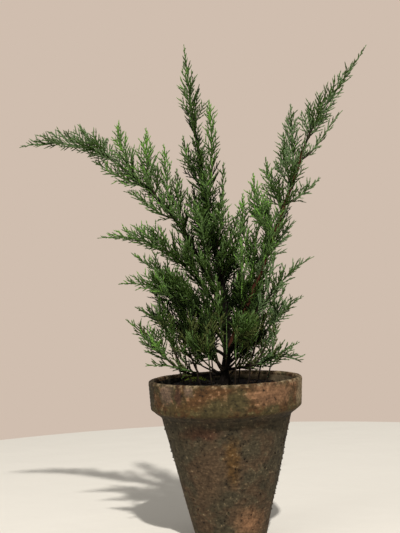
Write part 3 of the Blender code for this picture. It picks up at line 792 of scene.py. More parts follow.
def twig_bark(settings):
    """Juniper twigs: thin bark, smoother than the trunk's, browner where it is older."""
    green = tuple(value * GREEN_TWIG for value in settings.twig_bark)
    return speckled("juniper bark, twigs", green, settings.twig_bark, size=8, roughness=0.85)


def painted_floor(settings):
    """A studio floor under matt paint, whose faint unevenness is wide and soft."""
    rows = [
        ("place", "TexCoord", {}, {}),
        ("waves", "TexNoise", {}, {"Vector": "place.Object", "Scale": per_mm(90), "Detail": 3}),
        ("relief", "Bump", {}, {"Height": "waves", "Distance": 6 * MM, "Strength": 0.4}),
    ]
    name = "studio floor, matt paint"
    return new_material(name, settings.floor, roughness=0.9, ior=1.5, specular=0.2, rows=rows)


def juniper_bark(name, colour):
    """Juniper bark: it peels in thin strips that fray, dull and streaked along the limb."""
    dark = (*(value * CRACKED_BARK for value in colour), 1)
    pale = (*(min(1, value * FRAYED_BARK + FRAYED_LEAST) for value in colour), 1)
    rows = [
        ("place", "Attribute", {"attribute_name": "bark_place"}, {}),
        ("stretched", "VectorMath", TIMES, {0: "place.Vector", 1: (1, 1, 0.16)}),
        ("strips", "TexNoise", {}, {"Vector": "stretched", "Scale": per_mm(1.5), "Detail": 5}),
        ("areas", "TexNoise", {}, {"Vector": "place.Vector", "Scale": per_mm(12), "Detail": 3}),
        ("cracks", "MapRange", {}, {"Value": "strips", "From Min": 0.36, "From Max": 0.54}),
        ("edges", "MapRange", {}, {"Value": "strips", "From Min": 0.55, "From Max": 0.7}),
        ("frayed", "Math", TIMES, {0: "edges", 1: "areas"}),
        ("bark", "Mix", COLOURS, {FADE: "cracks", BELOW: dark, ABOVE: (*colour, 1)}),
        ("shade", "Mix", COLOURS, {FADE: "frayed", BELOW: "bark", ABOVE: pale}),
        ("relief", "Bump", {}, {"Height": "strips", "Distance": 0.35 * MM, "Strength": 1}),
    ]
    return new_material(name, colour, roughness=0.95, ior=1.45, specular=0.08, rows=rows)


def leaf_material(name, colour):
    """Juniper scale leaves: a thin wax on a tough skin gives a soft shine, in one plain tint."""
    return new_material(f"juniper leaves, {name}", colour, roughness=0.6, ior=1.45, specular=0.2)


def mesh_object(name, points, faces, materials, smooth=True):
    """An object from points in millimetres and faces, riding on the plant's one body."""
    mesh = bpy.data.meshes.new(name)
    mesh.from_pydata([tuple(value * MM for value in point) for point in points], [], faces)
    mesh.update()
    return finished_object(name, mesh, materials, smooth)


def finished_object(name, mesh, materials, smooth):
    """Gives a mesh its materials and shading, and puts it in the scene on the body."""
    for material in materials:
        mesh.materials.append(material)
    if smooth:
        mesh.shade_smooth()
    obj = bpy.data.objects.new(name, mesh)
    bpy.context.scene.collection.objects.link(obj)
    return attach(obj, "root")


class Limb:
    """A smooth line of points, in millimetres, with a radius that tapers along it."""

    def __init__(self, points, foot_radius, tip_radius, flare_radius=0, flare_height=1):
        self.points = points
        self.marks = [0.0]
        for before, after in zip(points, points[1:]):
            self.marks.append(self.marks[-1] + (after - before).length)
        self.length = self.marks[-1]
        self.foot_radius = foot_radius
        self.tip_radius = tip_radius
        self.flare = max(0, flare_radius - foot_radius)
        self.flare_height = flare_height

    def at(self, share):
        """The point and the direction at a share of the length."""
        distance = min(max(share, 0), 1) * self.length
        index = 1
        while index < len(self.points) - 1 and self.marks[index] < distance:
            index += 1
        before, after = self.points[index - 1], self.points[index]
        along = (distance - self.marks[index - 1]) / (after - before).length
        return before.lerp(after, along), (after - before).normalized()

    def radius(self, share):
        """The radius at a share of the length, with the flare at the foot."""
        flare = max(0, 1 - share * self.length / self.flare_height) ** 2 * self.flare
        return between((self.foot_radius, self.tip_radius), share) + flare

    def stations(self, pitch, start=0, end=1):
        """Even shares of the length from start to end, about a pitch apart."""
        count = max(2, round(self.length * (end - start) / pitch))
        return [start + (end - start) * step / count for step in range(count + 1)]

    def frames(self, shares):
        """The point and three axes at each share: along the limb and two across, without twist."""
        made = []
        across = None
        for share in shares:
            spot, along = self.at(share)
            across = along.orthogonal() if across is None else across - along * across.dot(along)
            across.normalize()
            made.append((spot, along, across.copy(), along.cross(across)))
        return made


def between(ends, share):
    """The value at a share of the way from the first of two ends to the second."""
    return ends[0] + (ends[1] - ends[0]) * share


def on_circle(turn, radius):
    """The point at an angle round the pot's axis and a radius."""
    return Vector((math.cos(turn) * radius, math.sin(turn) * radius, 0))


def ring_quads(rings, sides):
    """The faces between rings of points, from one ring to the next."""
    faces = []
    for ring in range(rings - 1):
        for side in range(sides):
            a, b = ring * sides + side, ring * sides + (side + 1) % sides
            faces.append((a, b, b + sides, a + sides))
    return faces


def join(points, faces, shape):
    """Adds a shape's own points and faces to those of a mesh."""
    start = len(points)
    points += shape[0]
    faces += [tuple(start + corner for corner in face) for face in shape[1]]


def through(knots):
    """Points of a Catmull-Rom curve through the knots."""
    knots = [Vector(knot) for knot in knots]
    ends = [2 * knots[0] - knots[1], *knots, 2 * knots[-1] - knots[-2]]
    points = []
    for a, b, c, d in zip(ends, ends[1:], ends[2:], ends[3:]):
        for step in range(KNOT_STEPS):
            t = step / KNOT_STEPS
            curve = 2 * b + (c - a) * t
            curve += (2 * a - 5 * b + 4 * c - d) * t**2
            curve += (3 * b - a - 3 * c + d) * t**3
            points.append(0.5 * curve)
    return [*points, knots[-1]]


def heading(azimuth, elevation):
    """The unit vector of an azimuth and an elevation, in degrees."""
    turn, lift = math.radians(azimuth), math.radians(elevation)
    flat = math.cos(lift)
    return Vector((math.cos(turn) * flat, math.sin(turn) * flat, math.sin(lift)))


def bent(root, tip, leave, arrive):
    """Points of a limb that leaves root in one direction and ends at tip in another."""
    pull = (tip - root).length / 3
    first, second = root + leave * pull, tip - arrive * pull
    points = []
    for step in range(CURVE_STEPS + 1):
        t = step / CURVE_STEPS
        s = 1 - t
        points.append(root * s**3 + first * 3 * s * s * t + second * 3 * s * t * t + tip * t**3)
    return points


def azimuth_of(vector):
    """The azimuth of a vector, in degrees."""
    return math.degrees(math.atan2(vector.y, vector.x))


def limb_to(root, tip, leave, arrive, radii, along=None):
    """A limb from its root to its tip, by the elevations at both ends.

    It leaves in the direction given as along where it has no elevation to leave at.
    """
    tip = Vector(tip)
    side = azimuth_of(tip - root)
    start = along if leave is None else heading(side, leave)
    return Limb(bent(root, tip, start, heading(side, arrive)), *radii)


def share_at_height(limb, height):
    """How far along a limb it reaches a height."""
    shares = (step / HEIGHT_STEPS for step in range(HEIGHT_STEPS))
    return next(share for share in shares if limb.at(share)[0].z >= height)


def grow_limbs():
    """The trunk, the two arms and the boughs by name. Each bough starts at the trunk's axis."""
    trunk = Limb(through(TRUNK_LINE), *TRUNK_RADII, FLARE_RADIUS, FLARE_HEIGHT)
    limbs = {"trunk": trunk}
    for name, line in ARM_LINES.items():
        root = trunk.at(share_at_height(trunk, line[0][2]))[0]
        limbs[name] = Limb(through((root, *line[1:])), *ARM_RADII[name])
    for name, (height, tip, leave, arrive, *radii) in BOUGHS.items():
        root = trunk.at(share_at_height(trunk, height))[0]
        limbs[name] = limb_to(root, tip, leave, arrive, radii)
    return limbs


def shoot_rows(limbs):
    """The rows of SHOOTS, and those of the fan and the collar."""
    rows = dict(SHOOTS)
    trunk = limbs["trunk"]
    for index, azimuth in enumerate(FAN_AZIMUTHS):
        share = share_at_height(trunk, FAN_FOOT + FAN_FOOT_STEP * (index * 2 % 5))
        tip = heading(azimuth, 0) * (FAN_REACH + FAN_REACH_STEP * (index % 3 - 1))
        tip.z = FAN_TOP + FAN_TOP_STEP * (index * 2 % 3)
        rows[f"fan_{index + 1}"] = ("trunk", share, tip, *FAN_LEAN, FAN_SPRAY)
    for index in range(COLLAR_MASSES):
        up = index / (COLLAR_MASSES - 1)
        share = share_at_height(trunk, between(COLLAR_FEET, up))
        sweep = 2 * (index * GOLDEN_RATIO % 1) - 1
        azimuth = (90 + COLLAR_SPREAD * sweep) * (-1) ** index
        tip = trunk.at(share)[0] + heading(azimuth, 0) * between(COLLAR_REACH, up)
        tip.z += COLLAR_RISE
        spray = between(COLLAR_SPRAY, up)
        rows[f"collar_{index + 1}"] = ("trunk", share, tip, *COLLAR_LEAN, spray)
    return rows


def grow_stems(limbs, rows):
    """The stem of each mass of foliage by name, from the axis of the limb that carries it."""
    stems = {}
    for name, (parent, share, tip, leave, arrive, _) in rows.items():
        root, along = limbs[parent].at(share)
        stems[name] = limb_to(root, tip, leave, arrive, STEM_RADII, along)
    return stems


def grow_filling_stems(limbs):
    """The stems that fill the bush: those in the tables, and thin ones at the trunk's foot."""
    trunk = limbs["trunk"]
    stems = []
    for parent, share, tip, leave, arrive, length in FILLING_STEMS:
        stem = limb_to(limbs[parent].at(share)[0], tip, leave, arrive, STEM_RADII)
        stems.append((stem, FILLED_FROM, length))
    for index in range(BASAL_STEMS):
        outer = index * GOLDEN_RATIO % 1
        root = trunk.at(share_at_height(trunk, between(BASAL_FEET, 1 - outer)))[0]
        azimuth = math.degrees(index * GOLDEN_ANGLE)
        tip = heading(azimuth, 0) * between(BASAL_REACH, outer)
        tip.z = between(BASAL_TOPS, index * 5 % 7 / 6)
        leave, arrive = (heading(azimuth, lean) for lean in BASAL_LEAN)
        stem = Limb(bent(root, tip, leave, arrive), *STEM_RADII)
        stems.append((stem, FILLED_FROM, BASAL_SPRAY))
    for x, y, top, length in SOIL_STEMS:
        run = (*SOIL_RUN, (SOIL_SPREAD, top))
        knots = [(x * share, y * share, height) for share, height in run]
        stems.append((Limb(through(knots), *STEM_RADII), RISEN_FROM, length))
    return stems


class Spaces:
    """Which part of the crown belongs to each mass: what lies nearest to its stem."""

    MINGLE = 10  # how far sprays of neighbouring masses reach into each other
    LIMB_CLEARANCE = 0.4
    RIM_CLEARANCE = 2
    OWN_FOOT = 5

    def __init__(self, limbs, stems):
        places, owners = [], []
        for number, stem in enumerate(stems.values()):
            for share in stem.stations(CELL_PITCH):
                places.append(stem.at(share)[0])
                owners.append(number)
        self.places = np.array(places)
        self.owners = np.array(owners)
        self.numbers = {name: number for number, name in enumerate(stems)}
        walls = [
            (*limb.at(share)[0], limb.radius(share))
            for limb in limbs.values()
            for share in limb.stations(CELL_PITCH)
        ]
        self.walls = np.array(walls)

    @staticmethod
    def in_hollow(spots):
        """True for each spot in the hollow in front of the trunk."""
        x, y, z = spots.T
        low, high = HOLLOW_HEIGHTS
        middle = HOLLOW_FOOT + HOLLOW_LEAN * (z - low)
        return (abs(x - middle) < HOLLOW_HALF) & (y < 0) & (z > low) & (z < high)

    def clear(self, spots):
        """True if all the spots are clear of the limbs, the soil and the pot."""
        gaps = np.linalg.norm(spots[:, None] - self.walls[None, :, :3], axis=2) - self.walls[:, 3]
        if gaps.min() < self.LIMB_CLEARANCE:
            return False
        over = spots[:, 2] > POT_HEIGHT + self.RIM_CLEARANCE
        beside = np.hypot(spots[:, 0], spots[:, 1]) > RIM_RADIUS + self.RIM_CLEARANCE
        return bool((over | beside).all())

    def holds(self, name, spots):
        """True if all the spots lie in a mass's space."""
        away = np.linalg.norm(spots[:, None] - self.places[None], axis=2)
        own = self.owners == self.numbers[name]
        if (away[:, ~own].min(1) + self.MINGLE < away[:, own].min(1)).any():
            return False
        return self.clear(spots)


class Cord:
    """A shoot or branchlet that curves evenly to one side, in millimetres."""

    def __init__(self, root, along, up, length, outer=False):
        self.root = root
        self.outer = outer
        self.along = along
        self.up = up
        self.length = length
        self.bend = CORD_BEND + CORD_BEND_GROWTH * length

    def at(self, share):
        """The point and the direction at a share of the length."""
        turn = self.bend * share
        run = self.length * math.sin(turn) / self.bend
        rise = self.length * (1 - math.cos(turn)) / self.bend
        spot = self.root + self.along * run + self.up * rise
        return spot, self.along * math.cos(turn) + self.up * math.sin(turn)


def side_axes(along, angle, lean, upturn):
    """The direction of a shoot that leans out from its stem, and the side that it curves to."""
    aside = along.orthogonal().normalized()
    aside.rotate(Quaternion(along, angle))
    out = along * math.cos(lean) + aside * math.sin(lean) + Vector((0, 0, upturn))
    out.normalize()
    up = along + Vector((0, 0, LIGHT_PULL))
    up -= out * up.dot(out)
    if up.length < LEAST_PULL:
        up = out.orthogonal()
    return out, up.normalized()


class Crown:
    """The whole plant: its limbs, the stems of its masses, and the sprays on both."""

    def __init__(self, settings):
        self.rng = random.Random(settings.seed)
        self.limbs = grow_limbs()
        rows = shoot_rows(self.limbs)
        self.stems = grow_stems(self.limbs, rows)
        self.spaces = Spaces(self.limbs, self.stems)
        self.filling_stems = grow_filling_stems(self.limbs)
        self.sprays = []  # rows of (mass, how far out, the spray's cords)
        pitch = settings.shoot_pitch / MM
        for name, stem in self.stems.items():
            start = STEM_CLAD_FROM if stem.points[0].z > BARE_BELOW else BARE_SHARE
            self.clothe(name, stem, stem.stations(pitch, start, STEM_CLAD_TO), rows[name][5])
        for name, (start, *lengths) in LIMB_SHOOTS.items():
            limb = self.limbs[name]
            self.clothe_limb(limb, limb.stations(settings.limb_pitch / MM, start), lengths)
        for stem, start, length in self.filling_stems:
            lengths = length, length * (1 - SHOOT_TAPER)
            self.clothe_limb(stem, stem.stations(pitch, start, FILLING_CLAD_TO), lengths)

    def clothe(self, mass, stem, shares, length):
        """Grows side shoots at shares of the stem of a mass, inside its space."""
        turn = self.rng.uniform(0, math.tau)
        whip = LEADER_WHIPS.get(mass, SHOOT_WHIP)
        for share in shares:
            turn += GOLDEN_ANGLE
            reach = length * (1 - SHOOT_TAPER * share) * self.rng.uniform(*SHOOT_VARIETY)
            reach = min(reach, LAST_SHOOT + stem.length * (1 - share) * whip)
            if self.spaces.in_hollow(np.array([stem.at(share)[0]])).any():
                reach = min(reach, HOLLOW_SHOOT)
            for size in SHOOT_SIZES:
                if self.try_turns(mass, stem, share, turn, reach * size):
                    break

    def try_turns(self, mass, stem, share, turn, reach):
        """Grows one side shoot at the first turn round the stem that has room for it."""
        for step in range(SHOOT_TURNS):
            shoot = self.side_shoot(stem, share, turn + math.tau * step / SHOOT_TURNS, reach)
            if shoot is None:
                return True
            ends = [shoot.at(place)[0] for place in SHOOT_TESTS]
            spots = np.array([end for end in ends if (end - shoot.root).length > Spaces.OWN_FOOT])
            if not len(spots) or (
                self.spaces.holds(mass, spots) and not self.hides_trunk(shoot, spots)
            ):
                self.add_spray(mass, share, shoot)
                return True
        return False

    def hides_trunk(self, shoot, spots):
        """True for a shoot, other than a short one, that reaches into the hollow."""
        return shoot.length > HOLLOW_SHOOT and bool(self.spaces.in_hollow(spots).any())

    def clothe_limb(self, limb, shares, lengths):
        """Grows side shoots on a limb itself, wherever they stay clear of limbs and pot."""
        turn = self.rng.uniform(0, math.tau)
        for share in shares:
            turn += GOLDEN_ANGLE
            reach = between(lengths, share) * self.rng.uniform(*LIMB_SHOOT_VARIETY)
            shoot = self.side_shoot(limb, share, turn, reach)
            if shoot is None:
                continue
            spots = np.array([shoot.at(place)[0] for place in LIMB_SHOOT_TESTS])
            if self.spaces.clear(spots) and not self.hides_trunk(shoot, spots):
                self.add_spray(self.nearest_mass(spots[1]), LIMB_SHOOT_OUT, shoot)

    def nearest_mass(self, spot):
        """The mass whose stem is nearest to a spot."""
        nearest = np.linalg.norm(self.spaces.places - spot, axis=1).argmin()
        return list(self.stems)[self.spaces.owners[nearest]]

    def side_shoot(self, stem, share, angle, reach):
        """A side shoot, shorter where it would hang, or None if it would be too short to see."""
        spot, along = stem.at(share)
        lean = math.radians(between(SHOOT_LEANS, share))
        lean *= self.rng.uniform(*LEAN_VARIETY)
        out, up = side_axes(along, angle, lean, SHOOT_UPTURN)
        hanging = max(0, (along - out).dot(Vector((0, 0, 1))))
        reach *= 1 - SHADED_SHARE * min(1, hanging * HANGING_GAIN) * math.hypot(along.x, along.y)
        if reach < SHORTEST_SHOOT:
            return None
        return Cord(spot, out, up, reach)

    def add_spray(self, mass, share, shoot):
        """Adds a side shoot with its branchlets."""
        cords = [shoot]
        self.fork(cords, shoot, 0)
        self.sprays.append((mass, share, cords))

    def fork(self, cords, parent, order):
        """Grows twigs on a shoot, and finer ones on the longer of them."""
        pitch, ratio, least, most = TWIG_ORDERS[order]
        count = int((parent.length - least * BARE_FOOT) / pitch)
        plane = self.rng.uniform(0, math.tau)
        for index in range(count):
            turn = plane + math.pi * index + self.rng.uniform(-TWIG_ROLL, TWIG_ROLL)
            place = TWIG_SPAN[0] + (TWIG_SPAN[1] - TWIG_SPAN[0]) * (index + 0.5) / count
            length = parent.length * ratio * (1 - TWIG_TAPER * place)
            length = min(max(length * self.rng.uniform(*TWIG_VARIETY), least), most)
            spot, along = parent.at(place)
            lean = math.radians(TWIG_LEAN * self.rng.uniform(*TWIG_LEAN_VARIETY))
            out, up = side_axes(along, turn, lean, TWIG_UPTURN)
            twig = Cord(spot, out, up, length, place > OUTER_TWIG or parent.outer)
            cords.append(twig)
            if length > FORKED_LENGTH and order + 1 < len(TWIG_ORDERS):
                self.fork(cords, twig, order + 1)

    def tint(self, mass, share, shoot):
        """The tint of a spray, by where it stands, its mass and chance."""
        tip = shoot.at(1)[0]
        axis = self.limbs["trunk"].at((tip.z - TRUNK_FOOT) / TRUNK_RISE)[0]
        out = math.hypot(tip.x - axis.x, tip.y - axis.y) / BUSH_RADIUS
        out += max(0, tip.z - BUSH_TOP) / ARM_RISE
        out += CROWN_SCORE * max(0, 1 - abs(tip.z - CROWN_HEIGHT) / CROWN_HALF)
        score = OUT_SCORE * min(MOST_OUT, out) + TIP_SCORE * share
        score += self.rng.gauss(0, CHANCE_SCORE)
        if tip.z < LOW_FOLIAGE:
            score -= LOW_SCORE
        if mass in FRESH_MASSES:
            score += FRESH_FOOT_SCORE + FRESH_TIP_SCORE * share
        if mass in BLUE_MASSES and score > BLUE_ABOVE:
            return "blue" if self.rng.random() < BLUE_CHANCE else "dark"
        if score > FRESH_ABOVE:
            return "fresh"
        if score > MID_ABOVE:
            return "mid"
        if score < OLIVE_BELOW and tip.z < OLD_FOLIAGE:
            return "olive" if self.rng.random() < OLIVE_CHANCE else "deep"
        return "dark" if score > DARK_ABOVE else "deep"


def outward(points, faces):
    """The faces, each turned to face away from the middle of a small convex shape."""
    middle = sum(points, Vector()) / len(points)
    turned = []
    for a, b, c in faces:
        normal = (points[b] - points[a]).cross(points[c] - points[a])
        faces_out = normal.dot(points[a] - middle) > 0
        turned.append((a, b, c) if faces_out else (a, c, b))
    return turned


def leaf_shape(spot, along, out, length, width, radius):
    """A scale leaf: a keeled point of four faces, whose foot is sunk in its twig."""
    across = out.cross(along)
    foot = spot + out * radius * LEAF_SUNK
    rise = radius + length * math.sin(LEAF_LEAN)
    points = [
        foot + across * width / 2,
        foot - across * width / 2,
        spot + out * (radius + width * LEAF_KEEL),
        spot + along * length * math.cos(LEAF_LEAN) + out * rise,
    ]
    return points, outward(points, ((0, 2, 3), (2, 1, 3), (1, 0, 3), (0, 1, 2)))


def across_cord(along, angle):
    """The direction at an angle round a cord that runs one way between +X and +Z."""
    normal = Vector((-along.z, 0, along.x))
    return Vector((0, 1, 0)) * math.cos(angle) + normal * math.sin(angle)


def cord_shape(length, kind, settings):
    """The mesh of a cord along +X that curves to +Z: a thin core with pairs of scale leaves."""
    cord = Cord(Vector(), Vector((1, 0, 0)), Vector((0, 0, 1)), length)
    core = CORD_RADIUS + CORD_RADIUS_GROWTH * length
    points, faces = [], []
    for share in CORD_RINGS:
        spot, along = cord.at(share)
        for corner in range(3):
            aside = across_cord(along, math.tau * corner / 3)
            points.append(spot + aside * core * (1 - CORD_TAPER * share))
    tip = len(points)
    points.append(cord.at(1)[0])
    for corner in range(3):
        after = (corner + 1) % 3
        for ring in range(len(CORD_RINGS) - 1):
            a, b = 3 * ring + corner, 3 * ring + after
            faces += [(a, a + 3, b + 3), (a, b + 3, b)]
        faces.append((tip - 3 + corner, tip, tip - 3 + after))
    faces.append((0, 1, 2))
    leaf_length, leaf_width = settings.leaf_length / MM, settings.leaf_width / MM
    pitch = settings.leaf_pitch / MM * (1 if length < LONG_CORD else LONG_CORD_PITCH)
    count = max(2, round((length - leaf_length * 0.5) / pitch))
    for index in range(count):
        share = (index + FIRST_LEAF + KIND_SHIFT * kind) * pitch / length
        if share > LAST_LEAF:
            break
        spot, along = cord.at(share)
        size, radius = 1 - CORD_TAPER * share, core * (1 - LEAF_TAPER * share)
        for half in (0, math.pi):
            out = across_cord(along, index * math.pi / 2 + kind * KIND_TURN + half)
            shape = leaf_shape(spot, along, out, leaf_length * size, leaf_width * size, radius)
            join(points, faces, shape)
    return np.array(points), np.array(faces)


class Shapes:
    """The small meshes that the foliage is made of, by kind."""

    def __init__(self, settings):
        self.meshes = {}
        for index in range(CORD_SIZES):
            for kind in range(CORD_KINDS):
                length = CORD_SHORTEST * CORD_RATIO**index
                self.meshes["cord", index, kind] = cord_shape(length, kind, settings)
        sizes = settings.leaf_length / MM, settings.leaf_width / MM, LOOSE_LEAF_SUNK
        points, faces = leaf_shape(Vector(), Vector((1, 0, 0)), Vector((0, 0, 1)), *sizes)
        self.meshes["leaf"] = np.array(points), np.array(faces)

    def nearest(self, length, kind):
        """The cord nearest to a length, and how much it is scaled."""
        index = round(math.log(max(length, 1) / CORD_SHORTEST) / math.log(CORD_RATIO))
        index = min(max(index, 0), CORD_SIZES - 1)
        return ("cord", index, kind), length / (CORD_SHORTEST * CORD_RATIO**index)


class Copies:
    """Many copies of the small meshes, and some whole ones, gathered for one joined piece."""

    def __init__(self):
        self.rows = {}
        self.tubes = []
        self.masses = set()
        self.triangles = 0

    def add(self, shapes, kind, spot, along, up, size):
        """Puts a copy at a spot, with its X axis along one direction and its Z up another."""
        across = up.cross(along)
        self.rows.setdefault(kind, []).append((*spot, *along, *across, *up, size))
        self.triangles += len(shapes.meshes[kind][1])

    def add_tube(self, points, faces):
        """Adds a mesh as it is."""
        self.tubes.append((np.array(points), np.array(faces)))
        self.triangles += len(faces)

    def merged(self, shapes):
        """All of it as one array of points and one of triangles."""
        points, faces, start = [], [], 0
        for kind, rows in self.rows.items():
            local, corners = shapes.meshes[kind]
            rows = np.array(rows)
            axes = rows[:, 3:12].reshape(-1, 3, 3) * rows[:, 12, None, None]
            placed = np.einsum("vk,nkc->nvc", local, axes) + rows[:, None, :3]
            steps = start + np.arange(len(rows)) * len(local)
            points.append(placed.reshape(-1, 3))
            faces.append((corners[None] + steps[:, None, None]).reshape(-1, 3))
            start += placed.shape[0] * placed.shape[1]
        for local, corners in self.tubes:
            points.append(local)
            faces.append(corners + start)
            start += len(local)
        return np.concatenate(points), np.concatenate(faces)


def triangle_object(name, points, faces, material):
    """One joined piece from arrays of points, in millimetres, and triangles."""
    mesh = bpy.data.meshes.new(name)
    mesh.vertices.add(len(points))
    mesh.vertices.foreach_set("co", (points * MM).astype(np.float32).ravel())
    mesh.loops.add(len(faces) * 3)
    mesh.loops.foreach_set("vertex_index", faces.astype(np.int32).ravel())
    mesh.polygons.add(len(faces))
    mesh.polygons.foreach_set("loop_start", np.arange(0, len(faces) * 3, 3, dtype=np.int32))
    mesh.update(calc_edges=True)
    return finished_object(name, mesh, [material], False)


def tube_shape(limb, shares, sides, thicker=0):
    """A closed tube of triangles along a limb, as thick as the limb or a little thicker."""
    points, faces = [], []
    for share, (spot, _, across, other) in zip(shares, limb.frames(shares)):
        for side in range(sides):
            angle = math.tau * side / sides
            out = across * math.cos(angle) + other * math.sin(angle)
            points.append(spot + out * (limb.radius(share) + thicker))
    for a, b, c, d in ring_quads(len(shares), sides):
        faces += [(a, b, c), (a, c, d)]
    last = (len(shares) - 1) * sides
    for side in range(1, sides - 1):
        faces.append((0, side + 1, side))
        faces.append((last, last + side, last + side + 1))
    return points, faces


class Foliage:
    """Deals the sprays out to joined pieces, one tint in each."""

    WHIP_FROM = 0.15  # where a stem turns from wood to green
    WHIP_LEAD = 0.1  # how far below its first shoot a filling stem turns green
    WHIP_PITCH = 4
    WHIP_SIDES = 5
    WHIP_LEAN = 0.16
    WHIP_CLAD_TO = 0.995
    WHIP_LEAF_PITCH = 1.25
    WHIP_LEAF_SIZE = 1.05
    WHIP_LEAF_TAPER = 0.25

    def __init__(self, crown, settings):
        self.crown = crown
        self.settings = settings
        self.shapes = Shapes(settings)
        self.gathered = {tint: [Copies()] for tint in FRESHER}
        for mass, share, cords in crown.sprays:
            self.add_spray(mass, share, cords)
        for name, stem in crown.stems.items():
            self.add_whip(name, stem, self.WHIP_FROM)
        for stem, start, _ in crown.filling_stems:
            nearest = crown.nearest_mass(stem.at(1)[0])
            self.add_whip(nearest, stem, start - self.WHIP_LEAD)

    def piece(self, tint, mass):
        """The piece of a tint that has room, marked as holding foliage of a mass."""
        last = self.gathered[tint][-1]
        if last.triangles > PIECE_TRIANGLES:
            last = Copies()
            self.gathered[tint].append(last)
        last.masses.add(mass)
        return last

    def add_spray(self, mass, share, cords):
        """Adds a copy of the nearest cord for each shoot and branchlet of a spray."""
        tint = self.crown.tint(mass, share, cords[0])
        for index, cord in enumerate(cords):
            piece = self.piece(FRESHER[tint] if cord.outer else tint, mass)
            kind, size = self.shapes.nearest(cord.length, index % CORD_KINDS)
            piece.add(self.shapes, kind, cord.root, cord.along, cord.up, size)

    def add_whip(self, mass, stem, start):
        """Adds the green outer part of a stem, clad in leaves to its tip."""
        tint = "blue" if mass in BLUE_MASSES else "fresh" if mass in FRESH_MASSES else "mid"
        piece = self.piece(tint, mass)
        shares = stem.stations(self.WHIP_PITCH, start)
        piece.add_tube(*tube_shape(stem, shares, self.WHIP_SIDES))
        pitch = self.settings.leaf_pitch / MM * self.WHIP_LEAF_PITCH
        shares = stem.stations(pitch, start, self.WHIP_CLAD_TO)
        lean, rise = math.cos(self.WHIP_LEAN), math.sin(self.WHIP_LEAN)
        for index, (share, axes) in enumerate(zip(shares, stem.frames(shares))):
            spot, along, across, other = axes
            size = self.WHIP_LEAF_SIZE - self.WHIP_LEAF_TAPER * share
            for half in (0, math.pi):
                angle = index * math.pi / 2 + half
                out = across * math.cos(angle) + other * math.sin(angle)
                foot = spot + out * (stem.radius(share) - LOOSE_LEAF_SUNK)
                tilted = along * lean - out * rise
                up = out * lean + along * rise
                piece.add(self.shapes, "leaf", foot, tilted, up, size)


# How finely the bark is drawn: the sides round the limb, the distance between its rings, and
# how much the lobes at the foot swell.
TRUNK_BARK = (30, 1.4, 0.12)
BOUGH_BARK = (16, 1.8, 0)

# The bark's strips, fibres and flakes: how fine each is round the limb, its length along it,
# and a shift that sets it apart from the others. A limb thinner than 5 mm has less relief, and
# the trunk's foot swells to five lobes.
BARK_PATTERNS = ((0.9, 13, (0, 0)), (2.4, 7, (7, 3)), (0.5, 5, (19, 5)))
STRIP_EDGE = 2.2  # how steeply a strip falls away from its middle
STRIP_RISE = 0.55
FIBRE_RISE = 0.3
FLAKE_RISE = 0.35
FLAKE_ABOVE = 0.15
THICK_LIMB = 5
FLARE_LOBES = 5
FLARE_TURN = 0.6


def bark_relief(around, distance, radius, height):
    """How far bark stands out at a place: long strips, with flakes where the strips end."""
    spot = on_circle(around, radius)
    strips, fibres, flakes = (
        noise.noise(spot * scale + Vector((*shift, distance / length)))
        for scale, length, shift in BARK_PATTERNS
    )
    ridge = 1 - STRIP_EDGE * abs(strips)
    flake = max(0, flakes - FLAKE_ABOVE)
    return height * (STRIP_RISE * ridge + FIBRE_RISE * fibres + FLAKE_RISE * flake)


def bark_object(name, limb, sides, pitch, lobes, height, material):
    """A limb with its bark's relief, closed at both ends. Lobes swell it where it is rooted."""
    shares = limb.stations(pitch)
    points, places = [], []
    for share, (spot, _, across, other) in zip(shares, limb.frames(shares)):
        distance = share * limb.length
        radius = limb.radius(share)
        rooted = max(0, 1 - distance / FLARE_HEIGHT) ** 2 * lobes
        for side in range(sides):
            around = math.tau * side / sides
            relief = bark_relief(around, distance, radius, height * min(1, radius / THICK_LIMB))
            swell = 1 + rooted * math.cos(FLARE_LOBES * around + FLARE_TURN)
            out = across * math.cos(around) + other * math.sin(around)
            points.append(spot + out * (radius * swell + relief))
            places.append((math.cos(around) * radius, math.sin(around) * radius, distance))
    faces = ring_quads(len(shares), sides)
    last = (len(shares) - 1) * sides
    faces.append(tuple(range(sides - 1, -1, -1)))
    faces.append(tuple(range(last, last + sides)))
    obj = mesh_object(name, points, faces, [material])
    attribute = obj.data.attributes.new("bark_place", "FLOAT_VECTOR", "POINT")
    attribute.data.foreach_set("vector", (np.array(places) * MM).astype(np.float32).ravel())
    return obj


def softened(profile, reach):
    """A profile with each inner corner rounded over a distance, or part of a shorter side."""
    made = [profile[0]]
    for before, corner, after in zip(profile, profile[1:], profile[2:]):
        starts = []
        for other in (before, after):
            run = (other - corner).length
            starts.append(corner.lerp(other, min(reach, run / CORNER_SIDE_PARTS) / run))
        for step in range(CORNER_STEPS + 1):
            t = step / CORNER_STEPS
            made.append(starts[0].lerp(corner, t).lerp(corner.lerp(starts[1], t), t))
    return [*made, profile[-1]]


def walked(profile, pitch):
    """The points of a profile, with more between them so that none is further than a pitch."""
    made = [profile[0]]
    for before, after in zip(profile, profile[1:]):
        steps = max(1, math.ceil((after - before).length / pitch))
        made += [before.lerp(after, step / steps) for step in range(1, steps + 1)]
    return made


